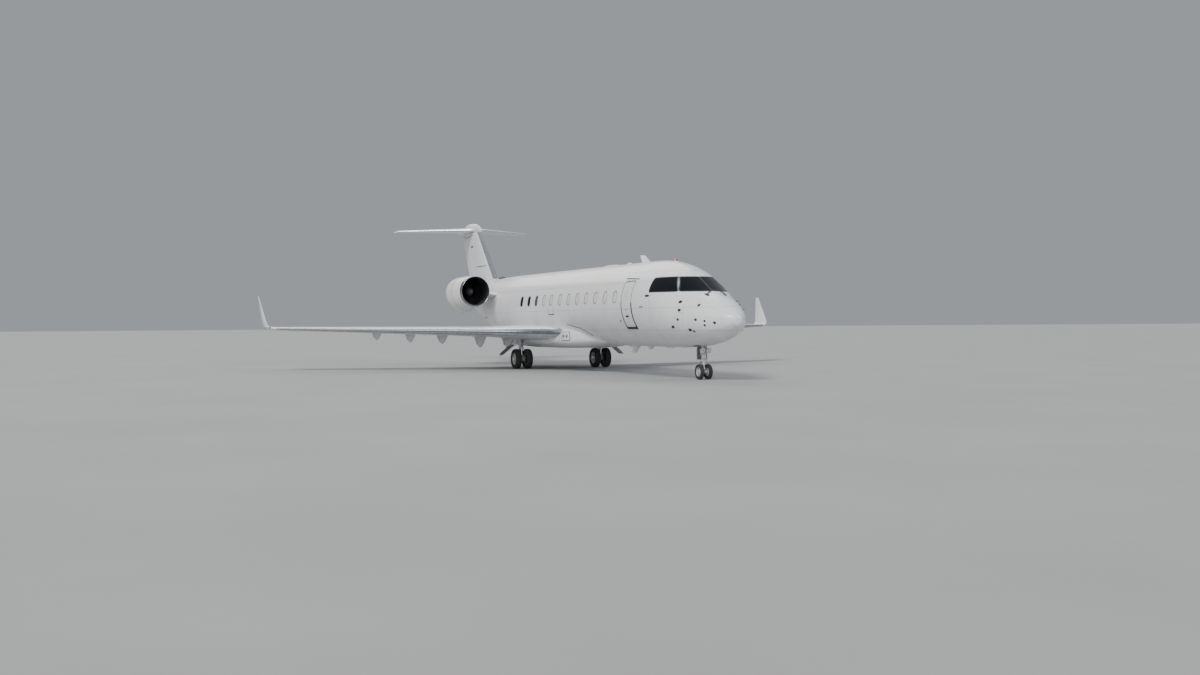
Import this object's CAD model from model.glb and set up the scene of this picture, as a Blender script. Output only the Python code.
import math
from functools import lru_cache

import bmesh
import bpy
from mathutils import Matrix, Vector


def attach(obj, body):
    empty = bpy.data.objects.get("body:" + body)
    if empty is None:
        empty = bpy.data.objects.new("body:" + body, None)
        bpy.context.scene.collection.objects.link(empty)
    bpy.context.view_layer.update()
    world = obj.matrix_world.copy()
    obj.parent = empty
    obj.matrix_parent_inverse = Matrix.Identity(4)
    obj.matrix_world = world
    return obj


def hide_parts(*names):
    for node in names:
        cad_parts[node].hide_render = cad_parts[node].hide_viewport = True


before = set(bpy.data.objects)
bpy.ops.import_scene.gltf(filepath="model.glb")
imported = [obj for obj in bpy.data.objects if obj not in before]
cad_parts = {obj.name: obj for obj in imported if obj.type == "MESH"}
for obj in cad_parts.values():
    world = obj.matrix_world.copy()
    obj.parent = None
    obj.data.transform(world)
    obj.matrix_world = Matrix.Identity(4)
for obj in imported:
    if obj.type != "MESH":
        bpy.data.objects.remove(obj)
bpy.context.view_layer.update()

# Stations are metres aft of the nose tip. The row frame has +X to the nose, +Y to the left wing tip and +Z up.
NOSE_X = 13.385
SIDES = {"left": 1, "right": -1}


# The camera stands ahead of the right wing tip, at eye height
CAMERA_PLACE = (44.39, -17.50, 1.685)
CAMERA_TURN = dict(yaw=156.79, pitch=-0.66, roll=-0.34)
FOCAL_LENGTH, SENSOR_WIDTH, FAR_CLIP = 38.094, 36, 500


def add_camera():
    yaw, pitch, roll = (math.radians(angle) for angle in CAMERA_TURN.values())
    forward = Vector((math.cos(yaw) * math.cos(pitch), math.sin(yaw) * math.cos(pitch), math.sin(pitch)))
    level = Vector((math.sin(yaw), -math.cos(yaw), 0))
    upward = level.cross(forward)
    right = level * math.cos(roll) + upward * math.sin(roll)
    up = upward * math.cos(roll) - level * math.sin(roll)
    data = bpy.data.cameras.new("camera")
    data.sensor_width = SENSOR_WIDTH
    data.lens = FOCAL_LENGTH
    data.clip_end = FAR_CLIP
    camera = bpy.data.objects.new("camera", data)
    rows = [(right[i], up[i], -forward[i], CAMERA_PLACE[i]) for i in range(3)]
    camera.matrix_world = Matrix(rows + [(0, 0, 0, 1)])
    bpy.context.scene.collection.objects.link(camera)
    bpy.context.scene.camera = camera


add_camera()


# Materials
class Shader:
    """Node tree of one material, with its principled shader."""

    def __init__(self, name):
        self.material = bpy.data.materials.new(name)
        self.material.use_nodes = True
        self.tree = self.material.node_tree
        self.shader = self.tree.nodes["Principled BSDF"]
        self.place = self.tree.nodes.new("ShaderNodeTexCoord").outputs["Object"]

    def put(self, socket, value):
        if isinstance(value, bpy.types.NodeSocket):
            self.tree.links.new(value, socket)
        else:
            socket.default_value = value

    def finish(self, **inputs):
        """Sets inputs of the principled shader, such as Base_Color."""
        for name, value in inputs.items():
            self.put(self.shader.inputs[name.replace("_", " ")], value)

    def node(self, kind, inputs, **settings):
        """Outputs of a new node, whose inputs are given as values or sockets."""
        made = self.tree.nodes.new(kind)
        for key, value in settings.items():
            setattr(made, key, value)
        for key, value in dict(inputs).items():
            self.put(made.inputs[key], value)
        return made.outputs

    def math(self, operation, *values):
        return self.node("ShaderNodeMath", enumerate(values), operation=operation)[0]

    def axis(self, index):
        return self.node("ShaderNodeSeparateXYZ", {0: self.place})[index]

    def noise(self, scale, detail=4, stretch=(1, 1, 1)):
        place = self.node("ShaderNodeMapping", {"Vector": self.place, "Scale": stretch})[0]
        inputs = {"Vector": place, "Scale": scale, "Detail": detail, "Roughness": 0.55}
        return self.node("ShaderNodeTexNoise", inputs)["Fac"]

    def ramp(self, source, low, high, start=0.0, end=1.0):
        return self.node("ShaderNodeMapRange", enumerate((source, start, end, low, high)))["Result"]

    def blend(self, share, first, second):
        return self.node("ShaderNodeMix", {0: share, 6: first, 7: second}, data_type="RGBA")[2]

    def bump(self, height, distance, strength=1.0):
        return self.node("ShaderNodeBump",
                         {"Height": height, "Distance": distance, "Strength": strength})["Normal"]

    def lines(self, coordinate, start, width, pitch=None):
        """1 on a line of this width at one value of the coordinate, or at each pitch from it, else 0."""
        away = self.math("SUBTRACT", coordinate, start)
        away = self.math("PINGPONG", away, pitch / 2) if pitch else self.math("ABSOLUTE", away)
        return self.math("LESS_THAN", away, width / 2)

    def either(self, *factors):
        total = factors[0]
        for factor in factors[1:]:
            total = self.math("MAXIMUM", total, factor)
        return total


def rgb(color, share=1.0):
    return (*(value * share for value in color), 1)


def worn(name, color, other, roughness, metallic=0.0, scale=3.0, stretch=(1, 1, 1), bump=0.0004):
    """A finish with uneven colour, gloss and a slightly uneven face."""
    made = Shader(name)
    made.finish(
        Base_Color=made.blend(made.ramp(made.noise(scale, stretch=stretch), 0, 1, 0.35, 0.7), rgb(color),
                              rgb(other)),
        Roughness=made.ramp(made.noise(scale * 4), *roughness, 0.3, 0.7),
        Metallic=metallic,
        Normal=made.bump(made.noise(scale * 12), bump))
    return made.material


def skin_paint(name, color, seams, roughness=(0.26, 0.4)):
    """Gloss paint with panel joints, rows of fasteners beside them and streaks of dirt.

    seams: rows of (axis index, place of a joint), with the pitch as third value where the joint is repeated."""
    joint_width, rivet_size, rivet_pitch, row_away = 0.007, 0.009, 0.06, 0.035
    made = Shader(name)
    axes = [made.axis(index) for index in range(3)]
    joints, rivets = [], []
    for axis, place, *pitch in seams:
        joints.append(made.lines(axes[axis], place, joint_width, *pitch))
        rows = [made.lines(axes[axis], place + shift, rivet_size, *pitch) for shift in (row_away, -row_away)]
        dots = made.lines(axes[0 if axis else 2], 0.0, rivet_size, rivet_pitch)
        rivets.append(made.math("MULTIPLY", made.either(*rows), dots))
    joint = made.either(*joints)
    low_down = made.ramp(axes[2], 0.55, 0.12, 0.9, 2.6)
    grime = made.math("MULTIPLY", made.ramp(made.noise(1.6, 5, (0.7, 1.4, 0.35)), 0, 1, 0.45, 0.8), low_down)
    spots = made.ramp(made.noise(9, 3), 0, 0.1, 0.55, 0.75)
    base = made.blend(made.math("MAXIMUM", grime, spots), rgb(color), rgb(color, 0.62))
    shade = made.math("MULTIPLY", made.either(joint, made.math("MULTIPLY", made.either(*rivets), 0.5)), 0.75)
    gloss = made.ramp(made.noise(5, 3), *roughness, 0.3, 0.7)
    height = made.math("SUBTRACT", made.math("MULTIPLY", made.noise(2.2, 2), 0.6), joint)
    made.finish(
        Base_Color=made.blend(shade, base, rgb(color, 0.3)),
        Roughness=made.math("ADD", gloss, made.math("MULTIPLY", grime, 0.25)),
        Coat_Weight=0.35,
        Coat_Roughness=0.12,
        Normal=made.bump(height, 0.0015, 0.6))
    return made.material


def glass(name, color, other, roughness=0.04, coat=1.0, ior=1.52):
    made = Shader(name)
    made.finish(
        Base_Color=made.blend(made.ramp(made.noise(1.5, 2), 0, 1, 0.3, 0.7), rgb(color), rgb(other)),
        Roughness=made.ramp(made.noise(18, 3), roughness, roughness + 0.05, 0.4, 0.7),
        IOR=ior,
        Coat_Weight=coat,
        Coat_Roughness=0.03)
    return made.material


FUSELAGE_PAINT = skin_paint("fuselage_paint", (0.78, 0.79, 0.81), [
    (0, 7.1, 1.574), (2, 3.24), (2, 2.92), (2, 2.12), (2, 1.45)])
TAIL_PAINT = skin_paint("tail_paint", (0.78, 0.79, 0.81), [(2, 3.6, 0.62), (0, -9.2, 0.95)])
WING_PAINT = skin_paint("wing_paint", (0.60, 0.62, 0.65), [(1, 0.4, 1.05)], (0.34, 0.5))
COWL_PAINT = skin_paint("cowl_paint", (0.80, 0.79, 0.77), [(0, -4.62), (0, -5.55), (2, 2.97)])
FAIRING_PAINT = skin_paint("fairing_paint", (0.74, 0.75, 0.77), [(0, 0.3, 1.18), (1, 0.45, 0.9)])
BARE_METAL = worn("bare_metal", (0.80, 0.81, 0.83), (0.62, 0.63, 0.65), (0.16, 0.3), 1.0, 2.0, (1, 3, 1))
EDGE_METAL = worn("edge_metal", (0.20, 0.24, 0.30), (0.14, 0.17, 0.22), (0.3, 0.45), 0.8, 3.0, (1, 4, 1))
DARK_METAL = worn("dark_metal", (0.10, 0.10, 0.11), (0.05, 0.05, 0.055), (0.35, 0.55), 0.9, 4.0)
BURNT_METAL = worn("burnt_metal", (0.30, 0.27, 0.24), (0.16, 0.14, 0.13), (0.3, 0.5), 1.0, 3.0, (1, 4, 4))
DUCT_LINING = worn("duct_lining", (0.025, 0.027, 0.03), (0.018, 0.019, 0.021), (0.5, 0.7), 0.1, 6.0)
GEAR_PAINT = worn("gear_paint", (0.62, 0.63, 0.64), (0.42, 0.42, 0.42), (0.35, 0.55), 0.0, 8.0)
RIM_PAINT = worn("rim_paint", (0.50, 0.50, 0.50), (0.32, 0.31, 0.30), (0.3, 0.5), 0.0, 14.0)
SPINNER_PAINT = worn("spinner_paint", (0.16, 0.16, 0.17), (0.24, 0.24, 0.25), (0.25, 0.4), 0.3, 6.0)
CHROME = worn("chrome", (0.85, 0.85, 0.86), (0.74, 0.74, 0.75), (0.08, 0.18), 1.0, 12.0)
RUBBER = worn("rubber", (0.022, 0.022, 0.023), (0.05, 0.048, 0.045), (0.7, 0.9), 0.0, 14.0, bump=0.002)
SEAL = worn("seal", (0.03, 0.03, 0.033), (0.015, 0.015, 0.016), (0.5, 0.7), 0.0, 10.0)
TRIM = worn("trim", (0.50, 0.51, 0.53), (0.40, 0.41, 0.43), (0.3, 0.45), 0.1, 8.0)
POST_PAINT = worn("post_paint", (0.22, 0.23, 0.25), (0.16, 0.17, 0.19), (0.35, 0.5), 0.0, 8.0)
LIP_METAL = worn("lip_metal", (0.36, 0.37, 0.39), (0.28, 0.29, 0.31), (0.18, 0.3), 1.0, 2.0, (1, 3, 1))
BAY_PRIMER = worn("bay_primer", (0.17, 0.19, 0.17), (0.10, 0.11, 0.10), (0.5, 0.7), 0.0, 5.0)
CABIN_TRIM = worn("cabin_trim", (0.52, 0.50, 0.46), (0.44, 0.42, 0.39), (0.5, 0.7), 0.0, 4.0)
STEP_TREAD = worn("step_tread", (0.08, 0.08, 0.085), (0.15, 0.15, 0.15), (0.7, 0.9), 0.0, 60.0, bump=0.002)
HOSE = worn("hose", (0.04, 0.04, 0.045), (0.09, 0.09, 0.09), (0.45, 0.6), 0.0, 30.0)
COCKPIT_GLASS = glass("cockpit_glass", (0.003, 0.004, 0.006), (0.005, 0.007, 0.01), 0.07, 0.0, 1.3)
CABIN_GLASS = glass("cabin_glass", (0.018, 0.02, 0.025), (0.03, 0.034, 0.04))
SHADED_GLASS = glass("shaded_glass", (0.84, 0.83, 0.79), (0.76, 0.75, 0.71), 0.08)
LAMP_GLASS = glass("lamp_glass", (0.72, 0.73, 0.74), (0.55, 0.56, 0.58))
RED_LENS = glass("red_lens", (0.30, 0.02, 0.015), (0.22, 0.01, 0.01))
GREEN_LENS = glass("green_lens", (0.01, 0.22, 0.06), (0.01, 0.15, 0.04))

WELD = 1e-5


# Meshes
def new_mesh(name, shape):
    mesh = bpy.data.meshes.new(name)
    mesh.from_pydata([tuple(v) for v in shape[0]], [], [tuple(f) for f in shape[1]])
    return mesh


def add(name, shape, materials, body="airframe", replaces=None, slot=None, sharp=35, face_slots=None):
    mesh = new_mesh(name, shape)
    if face_slots:
        mesh.polygons.foreach_set("material_index", face_slots)
    return finish_piece(name, mesh, materials, body, replaces, slot, sharp, True)


def finish_piece(name, mesh, materials, body="airframe", replaces=None, slot="white_paint", sharp=30,
                 weld=False):
    work = bmesh.new()
    work.from_mesh(mesh)
    if weld:
        bmesh.ops.remove_doubles(work, verts=work.verts, dist=WELD)
        bmesh.ops.dissolve_degenerate(work, edges=work.edges, dist=WELD)
    bmesh.ops.delete(work, geom=[v for v in work.verts if not v.link_faces], context="VERTS")
    bmesh.ops.recalc_face_normals(work, faces=work.faces)
    work.to_mesh(mesh)
    work.free()
    mesh.polygons.foreach_set("use_smooth", [True] * len(mesh.polygons))
    mesh.set_sharp_from_angle(angle=math.radians(sharp))
    indices = [face.material_index for face in mesh.polygons]
    mesh.materials.clear()
    for material in materials if isinstance(materials, (list, tuple)) else [materials]:
        mesh.materials.append(material)
    mesh.polygons.foreach_set("material_index", indices)
    piece = bpy.data.objects.new(name, mesh)
    bpy.context.scene.collection.objects.link(piece)
    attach(piece, body)
    if replaces:
        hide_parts(replaces)
    return piece


def at(s, y, z):
    """Point at a station, a distance to the left and a height."""
    return Vector((NOSE_X - s, y, z))


def up(z):
    return Vector((0, 0, z))


def turns(count, start=0.0):
    """Angles of equal steps round a circle."""
    return [2 * math.pi * (k + start) / count for k in range(count)]


def spread(start, end, count):
    """Evenly spaced values, with both ends."""
    return [start + (end - start) * k / (count - 1) for k in range(count)]


def mirrored(shape, side=-1):
    if side > 0:
        return shape
    vertices, faces = shape
    return [Vector((v[0], -v[1], v[2])) for v in vertices], [list(reversed(f)) for f in faces]


def moved(shape, turn, shift=(0, 0, 0)):
    """Shape turned by a matrix about the origin, then shifted."""
    vertices, faces = shape
    return [turn @ Vector(v) + Vector(shift) for v in vertices], faces


class Parts:
    """Gathers closed shapes of one piece, each with a material index. On the right they are mirrored."""

    def __init__(self, side=1):
        self.side = side
        self.vertices, self.faces, self.slots = [], [], []

    def take(self, shape, slot=0):
        vertices, faces = mirrored(shape, self.side)
        base = len(self.vertices)
        self.vertices += [Vector(v) for v in vertices]
        self.faces += [[base + i for i in face] for face in faces]
        self.slots += [slot] * len(faces)
        return self

    def rods(self, rows):
        """Takes rods and collars: rows of start, end, radius, sides, bevel and material index."""
        for start, end, radius, sides, bevel, slot in rows:
            self.take(rod(start, end, radius, sides=sides, bevel=bevel), slot)

    def add(self, name, materials, *more, **named):
        return add(name, (self.vertices, self.faces), materials, *more, face_slots=self.slots, **named)


def loft(rings, closed=True, caps=True):
    """Shape through rings of equal counts."""
    count = len(rings[0])
    vertices = [p for ring in rings for p in ring]
    faces = []
    for r in range(len(rings) - 1):
        for i in range(count if closed else count - 1):
            a, b = r * count + i, r * count + (i + 1) % count
            faces.append((a, b, b + count, a + count))
    if caps:
        faces.append(tuple(reversed(range(count))))
        faces.append(tuple(range((len(rings) - 1) * count, len(rings) * count)))
    return vertices, faces


def thin_loft(rings):
    """Loft with its ends closed by strips, which suit thin outlines whose point i faces point n - i."""
    vertices, faces = loft(rings, caps=False)
    count = len(rings[0])
    for base in (0, len(vertices) - count):
        for i in range(count // 2):
            strip = dict.fromkeys(base + k % count for k in (i, i + 1, count - i - 1, count - i))
            if len(strip) > 2:
                faces.append(tuple(strip))
    return vertices, faces


def lathe(profile, origin, axis=(-1, 0, 0), sides=64, closed=True):
    """Profile of (radius, distance) turned about an axis. A closed one is a ring, an open one ends on it."""
    along = Vector(axis).normalized()
    first = along.orthogonal().normalized()
    if abs(along.z) < 0.9:
        first = along.cross(up(1)).normalized()
    second = along.cross(first)
    rings = []
    for turn in turns(sides):
        out = first * math.cos(turn) + second * math.sin(turn)
        rings.append([Vector(origin) + along * distance + out * radius for radius, distance in profile])
    return loft(rings + rings[:1], closed, False)


def rod(start, end, radius, end_radius=None, sides=16, bevel=0.0):
    start, end = Vector(start), Vector(end)
    end_radius = radius if end_radius is None else end_radius
    length = (end - start).length
    profile = [(0, 0), (radius - bevel, 0), (radius, bevel), (end_radius, length - bevel),
               (end_radius - bevel, length), (0, length)]
    return lathe(profile, start, end - start, sides, False)


def tube(points, radius, sides=8):
    """Round tube along a path."""
    points = [Vector(p) for p in points]
    rings = []
    first = None
    for i, p in enumerate(points):
        along = (points[min(i + 1, len(points) - 1)] - points[max(i - 1, 0)]).normalized()
        first = along.orthogonal() if first is None else first - along * first.dot(along)
        first.normalize()
        second = along.cross(first)
        rings.append([p + (first * math.cos(turn) + second * math.sin(turn)) * radius for turn in turns(sides)])
    return loft(rings)


def smooth_path(points, steps=6):
    """Catmull-Rom curve through points."""
    points = [Vector(p) for p in points]
    out = []
    for i in range(len(points) - 1):
        a, b, c, d = (points[max(0, min(len(points) - 1, i + k))] for k in (-1, 0, 1, 2))
        for step in range(steps):
            t = step / steps
            out.append(0.5 * (2 * b + (c - a) * t + (2 * a - 5 * b + 4 * c - d) * t ** 2
                              + (3 * b - a - 3 * c + d) * t ** 3))
    return out + [points[-1]]


def block(low, high, bevel=0.0):
    """Box with bevelled edges."""
    work = bmesh.new()
    bmesh.ops.create_cube(work, size=1)
    low, high = Vector(low), Vector(high)
    for v in work.verts:
        v.co = Vector([(low[i] + high[i]) / 2 + v.co[i] * (high[i] - low[i]) for i in range(3)])
    if bevel:
        bmesh.ops.bevel(work, geom=list(work.edges), offset=bevel, segments=3, profile=0.5, affect="EDGES")
    shape = [v.co.copy() for v in work.verts], [[v.index for v in f.verts] for f in work.faces]
    work.free()
    return shape


def temporary(shape, material):
    mesh = new_mesh("cutter", shape)
    work = bmesh.new()
    work.from_mesh(mesh)
    bmesh.ops.remove_doubles(work, verts=work.verts, dist=WELD)
    bmesh.ops.recalc_face_normals(work, faces=work.faces)
    work.to_mesh(mesh)
    work.free()
    mesh.materials.append(material)
    made = bpy.data.objects.new("cutter", mesh)
    bpy.context.scene.collection.objects.link(made)
    return made


def carve(shape, material, cutters):
    """Mesh of a shape after cutting away (material of the cut, cutter shapes) groups, and its materials.

    The shapes of one group don't touch each other."""
    base = temporary(shape, material)
    for finish, *shapes in cutters:
        parts = Parts()
        for cutter in shapes:
            parts.take(cutter)
        tool = temporary((parts.vertices, parts.faces), finish)
        modifier = base.modifiers.new("cut", "BOOLEAN")
        modifier.operation = "DIFFERENCE"
        modifier.solver = "EXACT"
        modifier.use_self = False
        modifier.material_mode = "TRANSFER"
        modifier.object = tool
        bpy.context.view_layer.update()
        graph = bpy.context.evaluated_depsgraph_get()
        result = bpy.data.meshes.new_from_object(base.evaluated_get(graph))
        base.modifiers.clear()
        base.data = result
        bpy.data.objects.remove(tool)
    mesh = base.data
    bpy.data.objects.remove(base)
    return mesh, list(mesh.materials)


def curve(rows, place, *columns):
    """Values of columns at a place along a table, on smooth curves through its rows."""
    last = len(rows) - 1
    if not rows[0][0] < place < rows[last][0]:
        end = rows[0] if place <= rows[0][0] else rows[last]
        return [end[column] for column in columns]
    i = 0
    while place > rows[i + 1][0]:
        i += 1
    run = rows[i + 1][0] - rows[i][0]
    t = (place - rows[i][0]) / run

    def value(column):
        def slope(k):
            return (rows[k + 1][column] - rows[k][column]) / (rows[k + 1][0] - rows[k][0])

        def tangent(k):
            if k in (0, last):
                return slope(0 if k == 0 else last - 1)
            before, after = slope(k - 1), slope(k)
            return 0 if before * after <= 0 else 2 * before * after / (before + after)

        return ((1 + 2 * t) * (1 - t) ** 2 * rows[i][column] + t * (1 - t) ** 2 * run * tangent(i)
                + t * t * (3 - 2 * t) * rows[i + 1][column] + t * t * (t - 1) * run * tangent(i + 1))

    return [value(column) for column in columns]


# Fuselage: top line of the nose (station, height), then the tail (station, half width, top, bottom)
NOSE_TOP = [
    (0, 1.77), (0.03, 1.84), (0.1, 1.93), (0.25, 2.04), (0.5, 2.18), (1.0, 2.4), (1.5, 2.585), (2.0, 2.84),
    (2.5, 3.11), (2.9, 3.29), (3.3, 3.43), (3.8, 3.54), (4.4, 3.605), (5.0, 3.62)]
TAIL = [
    (16.5, 1.345, 3.62, 0.93), (17.5, 1.332, 3.616, 0.985), (18.5, 1.285, 3.608, 1.14),
    (19.5, 1.195, 3.592, 1.375), (20.5, 1.065, 3.566, 1.64), (21.5, 0.9, 3.53, 1.915), (22.5, 0.705, 3.48, 2.2),
    (23.5, 0.48, 3.405, 2.48), (24.1, 0.33, 3.335, 2.65), (24.4, 0.245, 3.275, 2.75)]
RADIUS = 1.345
BELLY = 0.93
NOSE_TIP = 1.7
TIP_ROUNDING = 0.08
RING = 112


def swell(s, length, blunt, fill):
    return (1 - (1 - min(s + 0.015, length) / length) ** blunt) ** fill


@lru_cache(maxsize=None)
def body_at(s):
    """Half width, middle height and half height at a station."""
    if s > TAIL[0][0]:
        half, top, bottom = curve(TAIL, s, 1, 2, 3)
    elif s < TIP_ROUNDING:
        half, middle, rise = body_at(TIP_ROUNDING)
        share = math.sqrt(max(1 - (1 - s / TIP_ROUNDING) ** 2, 0)) if s > 0 else 0
        return max(half * share, 0.002), middle, max(rise * share, 0.002)
    else:
        half = RADIUS * swell(s, 4.6, 2.2, 0.65)
        bottom = NOSE_TIP - (NOSE_TIP - BELLY) * swell(s, 3.6, 2.6, 0.6)
        top = curve(NOSE_TOP, s, 1)[0]
    return half, (top + bottom) / 2, (top - bottom) / 2


def skin_point(s, angle, grow=0.0):
    half, middle, rise = body_at(s)
    return at(s, (half + grow) * math.cos(angle), middle + (rise + grow) * math.sin(angle))


def skin_level(s, y, z):
    half, middle, rise = body_at(s)
    return (y / half) ** 2 + ((z - middle) / rise) ** 2


def skin_normal(p):
    s = NOSE_X - p.x
    step = 0.003
    half, middle, rise = body_at(round(s, 4))
    change = (skin_level(round(s + step, 4), p.y, p.z) - skin_level(round(max(s - step, 0.001), 4), p.y, p.z))
    return Vector((-change / (2 * step), 2 * p.y / half ** 2, 2 * (p.z - middle) / rise ** 2)).normalized()


def from_side(side=1):
    """Places (station, height) on the skin of one side."""
    def place(s, z):
        half, middle, rise = body_at(round(s, 4))
        return at(s, side * half * math.sqrt(max(1 - ((z - middle) / rise) ** 2, 0)), z)
    return place


def from_ahead(side=1):
    """Places (span, height) on the skin of the nose."""
    def place(y, z):
        low, high = 0.1, 4.6
        for _ in range(30):
            middle = (low + high) / 2
            low, high = (middle, high) if skin_level(middle, y, z) > 1 else (low, middle)
        return at(low, side * y, z)
    return place


def from_plan(top=True):
    """Places (station, span) on the upper or lower skin."""
    def place(s, y):
        half, middle, rise = body_at(round(s, 4))
        height = rise * math.sqrt(max(1 - (y / half) ** 2, 0))
        return at(s, y, middle + (height if top else -height))
    return place


LEFT, RIGHT = from_side(1), from_side(-1)
UNDER = from_plan(False)


def off_skin(p, away):
    return p + skin_normal(p) * away


def rounded(outline, radius, steps=5):
    """Outline with round corners."""
    out = []
    for i, corner in enumerate(outline):
        corner = Vector(corner)
        before = Vector(outline[i - 1]) - corner
        after = Vector(outline[(i + 1) % len(outline)]) - corner
        cut = min(radius, before.length * 0.49, after.length * 0.49)
        a, b = corner + before.normalized() * cut, corner + after.normalized() * cut
        out += [(1 - t) ** 2 * a + 2 * t * (1 - t) * corner + t * t * b for t in spread(0, 1, steps + 1)]
    return out


def panel(first, last, low, high, radius=0.0, steps=5):
    """Upright outline, with round corners where it has a radius."""
    corners = [(first, low), (last, low), (last, high), (first, high)]
    return rounded(corners, radius, steps) if radius else corners


def dense(outline, spacing=0.09):
    out = []
    for i, p in enumerate(outline):
        p, q = Vector(p), Vector(outline[(i + 1) % len(outline)])
        count = max(1, math.ceil((q - p).length / spacing))
        out += [p.lerp(q, k / count) for k in range(count)]
    return out


def widened(outline, margin):
    """Outline with each edge moved outwards."""
    count = len(outline)
    points = [Vector(p) for p in outline]
    area = sum(p.x * q.y - q.x * p.y for p, q in zip(points, points[1:] + points[:1]))

    def normal(i):
        edge = points[(i + 1) % count] - points[i % count]
        return Vector((edge.y, -edge.x)).normalized() * (1 if area > 0 else -1)

    out = []
    for i, p in enumerate(points):
        a, b = normal(i - 1), normal(i)
        out.append(p + (a + b) * (margin / max(1 + a.dot(b), 0.3)))
    return out


def patch(outline, place, outer, inner, rings=5, spacing=0.09):
    """Closed plate that follows the skin over an outline, between two distances from it."""
    border = dense(outline, spacing)
    middle = sum(border, Vector((0, 0))) / len(border)
    count = len(border)
    vertices = []
    for away in (outer, inner):
        flat = [p.lerp(middle, k / rings) for k in range(rings) for p in border] + [middle]
        vertices += [off_skin(place(*p), away) for p in flat]
    half = rings * count + 1
    faces = []
    for layer in (0, 1):
        start = layer * half
        for k in range(rings):
            for i in range(count):
                j = (i + 1) % count
                a, b = start + k * count + i, start + k * count + j
                c, d = (a + count, b + count) if k < rings - 1 else (start + rings * count,) * 2
                face = (a, b, c) if c == d else (a, b, d, c)
                faces.append(face if layer else tuple(reversed(face)))
    for i in range(count):
        j = (i + 1) % count
        faces.append((i, j, half + j, half + i))
    return vertices, faces


def band(outline, place, inside, outside, outer, inner, spacing=0.09):
    """Closed frame along an outline, between two distances from the skin and two widths from the outline."""
    base = dense(outline, spacing)
    rings = []
    for wide, narrow in zip(widened(base, outside), widened(base, inside)):
        corners = ((wide, outer), (wide, inner), (narrow, inner), (narrow, outer))
        rings.append([off_skin(place(*p), away) for p, away in corners])
    return loft(rings + rings[:1], True, False)


def skin_section(start, end, spacing):
    """Closed length of fuselage, with its edges eased so that the joints show."""
    gap, ease, sunk = 0.0005, 0.0045, -0.007
    rows = [(s, 0.0) for s in spread(start, end, max(2, math.ceil((end - start) / spacing)) + 1)]
    if start > 0:
        rows[0] = (start + gap, sunk)
        rows.insert(1, (start + ease, 0.0))
    rows[-1] = (end - gap, sunk if end < TAIL[-1][0] else 0.0)
    rows.insert(-1, (end - ease, 0.0))
    if start == 0:
        tip = [TIP_ROUNDING * t ** 2 for t in (0, 0.1, 0.2, 0.32, 0.45, 0.6, 0.75, 0.9, 1.0)]
        rows = [(s, 0.0) for s in tip] + [row for row in rows if row[0] > TIP_ROUNDING + 0.01]
    return thin_loft([[skin_point(round(s, 4), turn, grow) for turn in turns(RING)] for s, grow in rows])


def polish(piece):
    """Sets the normals of the outer skin from the smooth body, so that reflections run clean past the cuts."""
    mesh = piece.data
    normals = [None] * len(mesh.loops)
    cache = {}
    for face in mesh.polygons:
        for index in face.loop_indices:
            vertex = mesh.loops[index].vertex_index
            if vertex not in cache:
                p = mesh.vertices[vertex].co
                inside = 0.01 < NOSE_X - p.x < TAIL[-1][0] - 0.001
                level = skin_level(round(NOSE_X - p.x, 4), p.y, p.z) if inside else 0
                cache[vertex] = skin_normal(p) if abs(level - 1) < 0.02 else None
            ideal = cache[vertex]
            normals[index] = ideal if ideal and ideal.dot(face.normal) > 0.8 else face.normal
    mesh.normals_split_custom_set(normals)


# Glazing outlines: side windows in side view, windshields in front view
SIDE_WINDOW = [(2.13, 2.60), (3.26, 2.605), (3.325, 3.01), (2.60, 3.025)]
SHIELD_LOW, SHIELD_HIGH, SHIELD_INNER = 2.60, 3.025, 0.03
WINDSHIELD = [(SHIELD_INNER, SHIELD_LOW), (LEFT(2.08, SHIELD_LOW).y, SHIELD_LOW),
              (LEFT(2.55, SHIELD_HIGH).y, SHIELD_HIGH), (SHIELD_INNER, SHIELD_HIGH)]

# Doors in side view: first and last station, sill and head
PASSENGER_DOOR = panel(4.15, 5.06, 1.61, 3.39, 0.09)
SERVICE_DOOR = panel(4.30, 4.98, 1.56, 2.95, 0.09)
BAGGAGE_DOOR = panel(17.30, 18.39, 1.50, 2.34, 0.09)
OVERWING_EXIT = panel(10.86, 11.37, 2.01, 2.87, 0.09)
EXIT_WINDOW = 11.115
CABIN_WINDOWS = [5.52 + 0.787 * i if i != 7 else EXIT_WINDOW for i in range(12)]
OPEN_BLINDS = 9
WINDOW_HEIGHT = 2.50
GUTTER_HEIGHT = 3.02

# Wheel bays: first and last station, then from and to across, and the roof
NOSE_BAY = (1.18, 2.33, -0.27, 0.27, 1.42)
MAIN_BAY = (12.98, 13.99, 0.18, 1.15, 1.30)
BAY_CUT = 0.5


def window_outline(s, width=0.27, height=0.385):
    return panel(s - width / 2, s + width / 2, WINDOW_HEIGHT - height / 2, WINDOW_HEIGHT + height / 2, 0.125, 6)


def station_box(first, last, low_y, high_y, high_z, low_z=BAY_CUT):
    return block((NOSE_X - last, low_y, low_z), (NOSE_X - first, high_y, high_z))


def main_bays():
    return [BAY_PRIMER] + [mirrored(station_box(*MAIN_BAY), side) for side in SIDES.values()]


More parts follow.
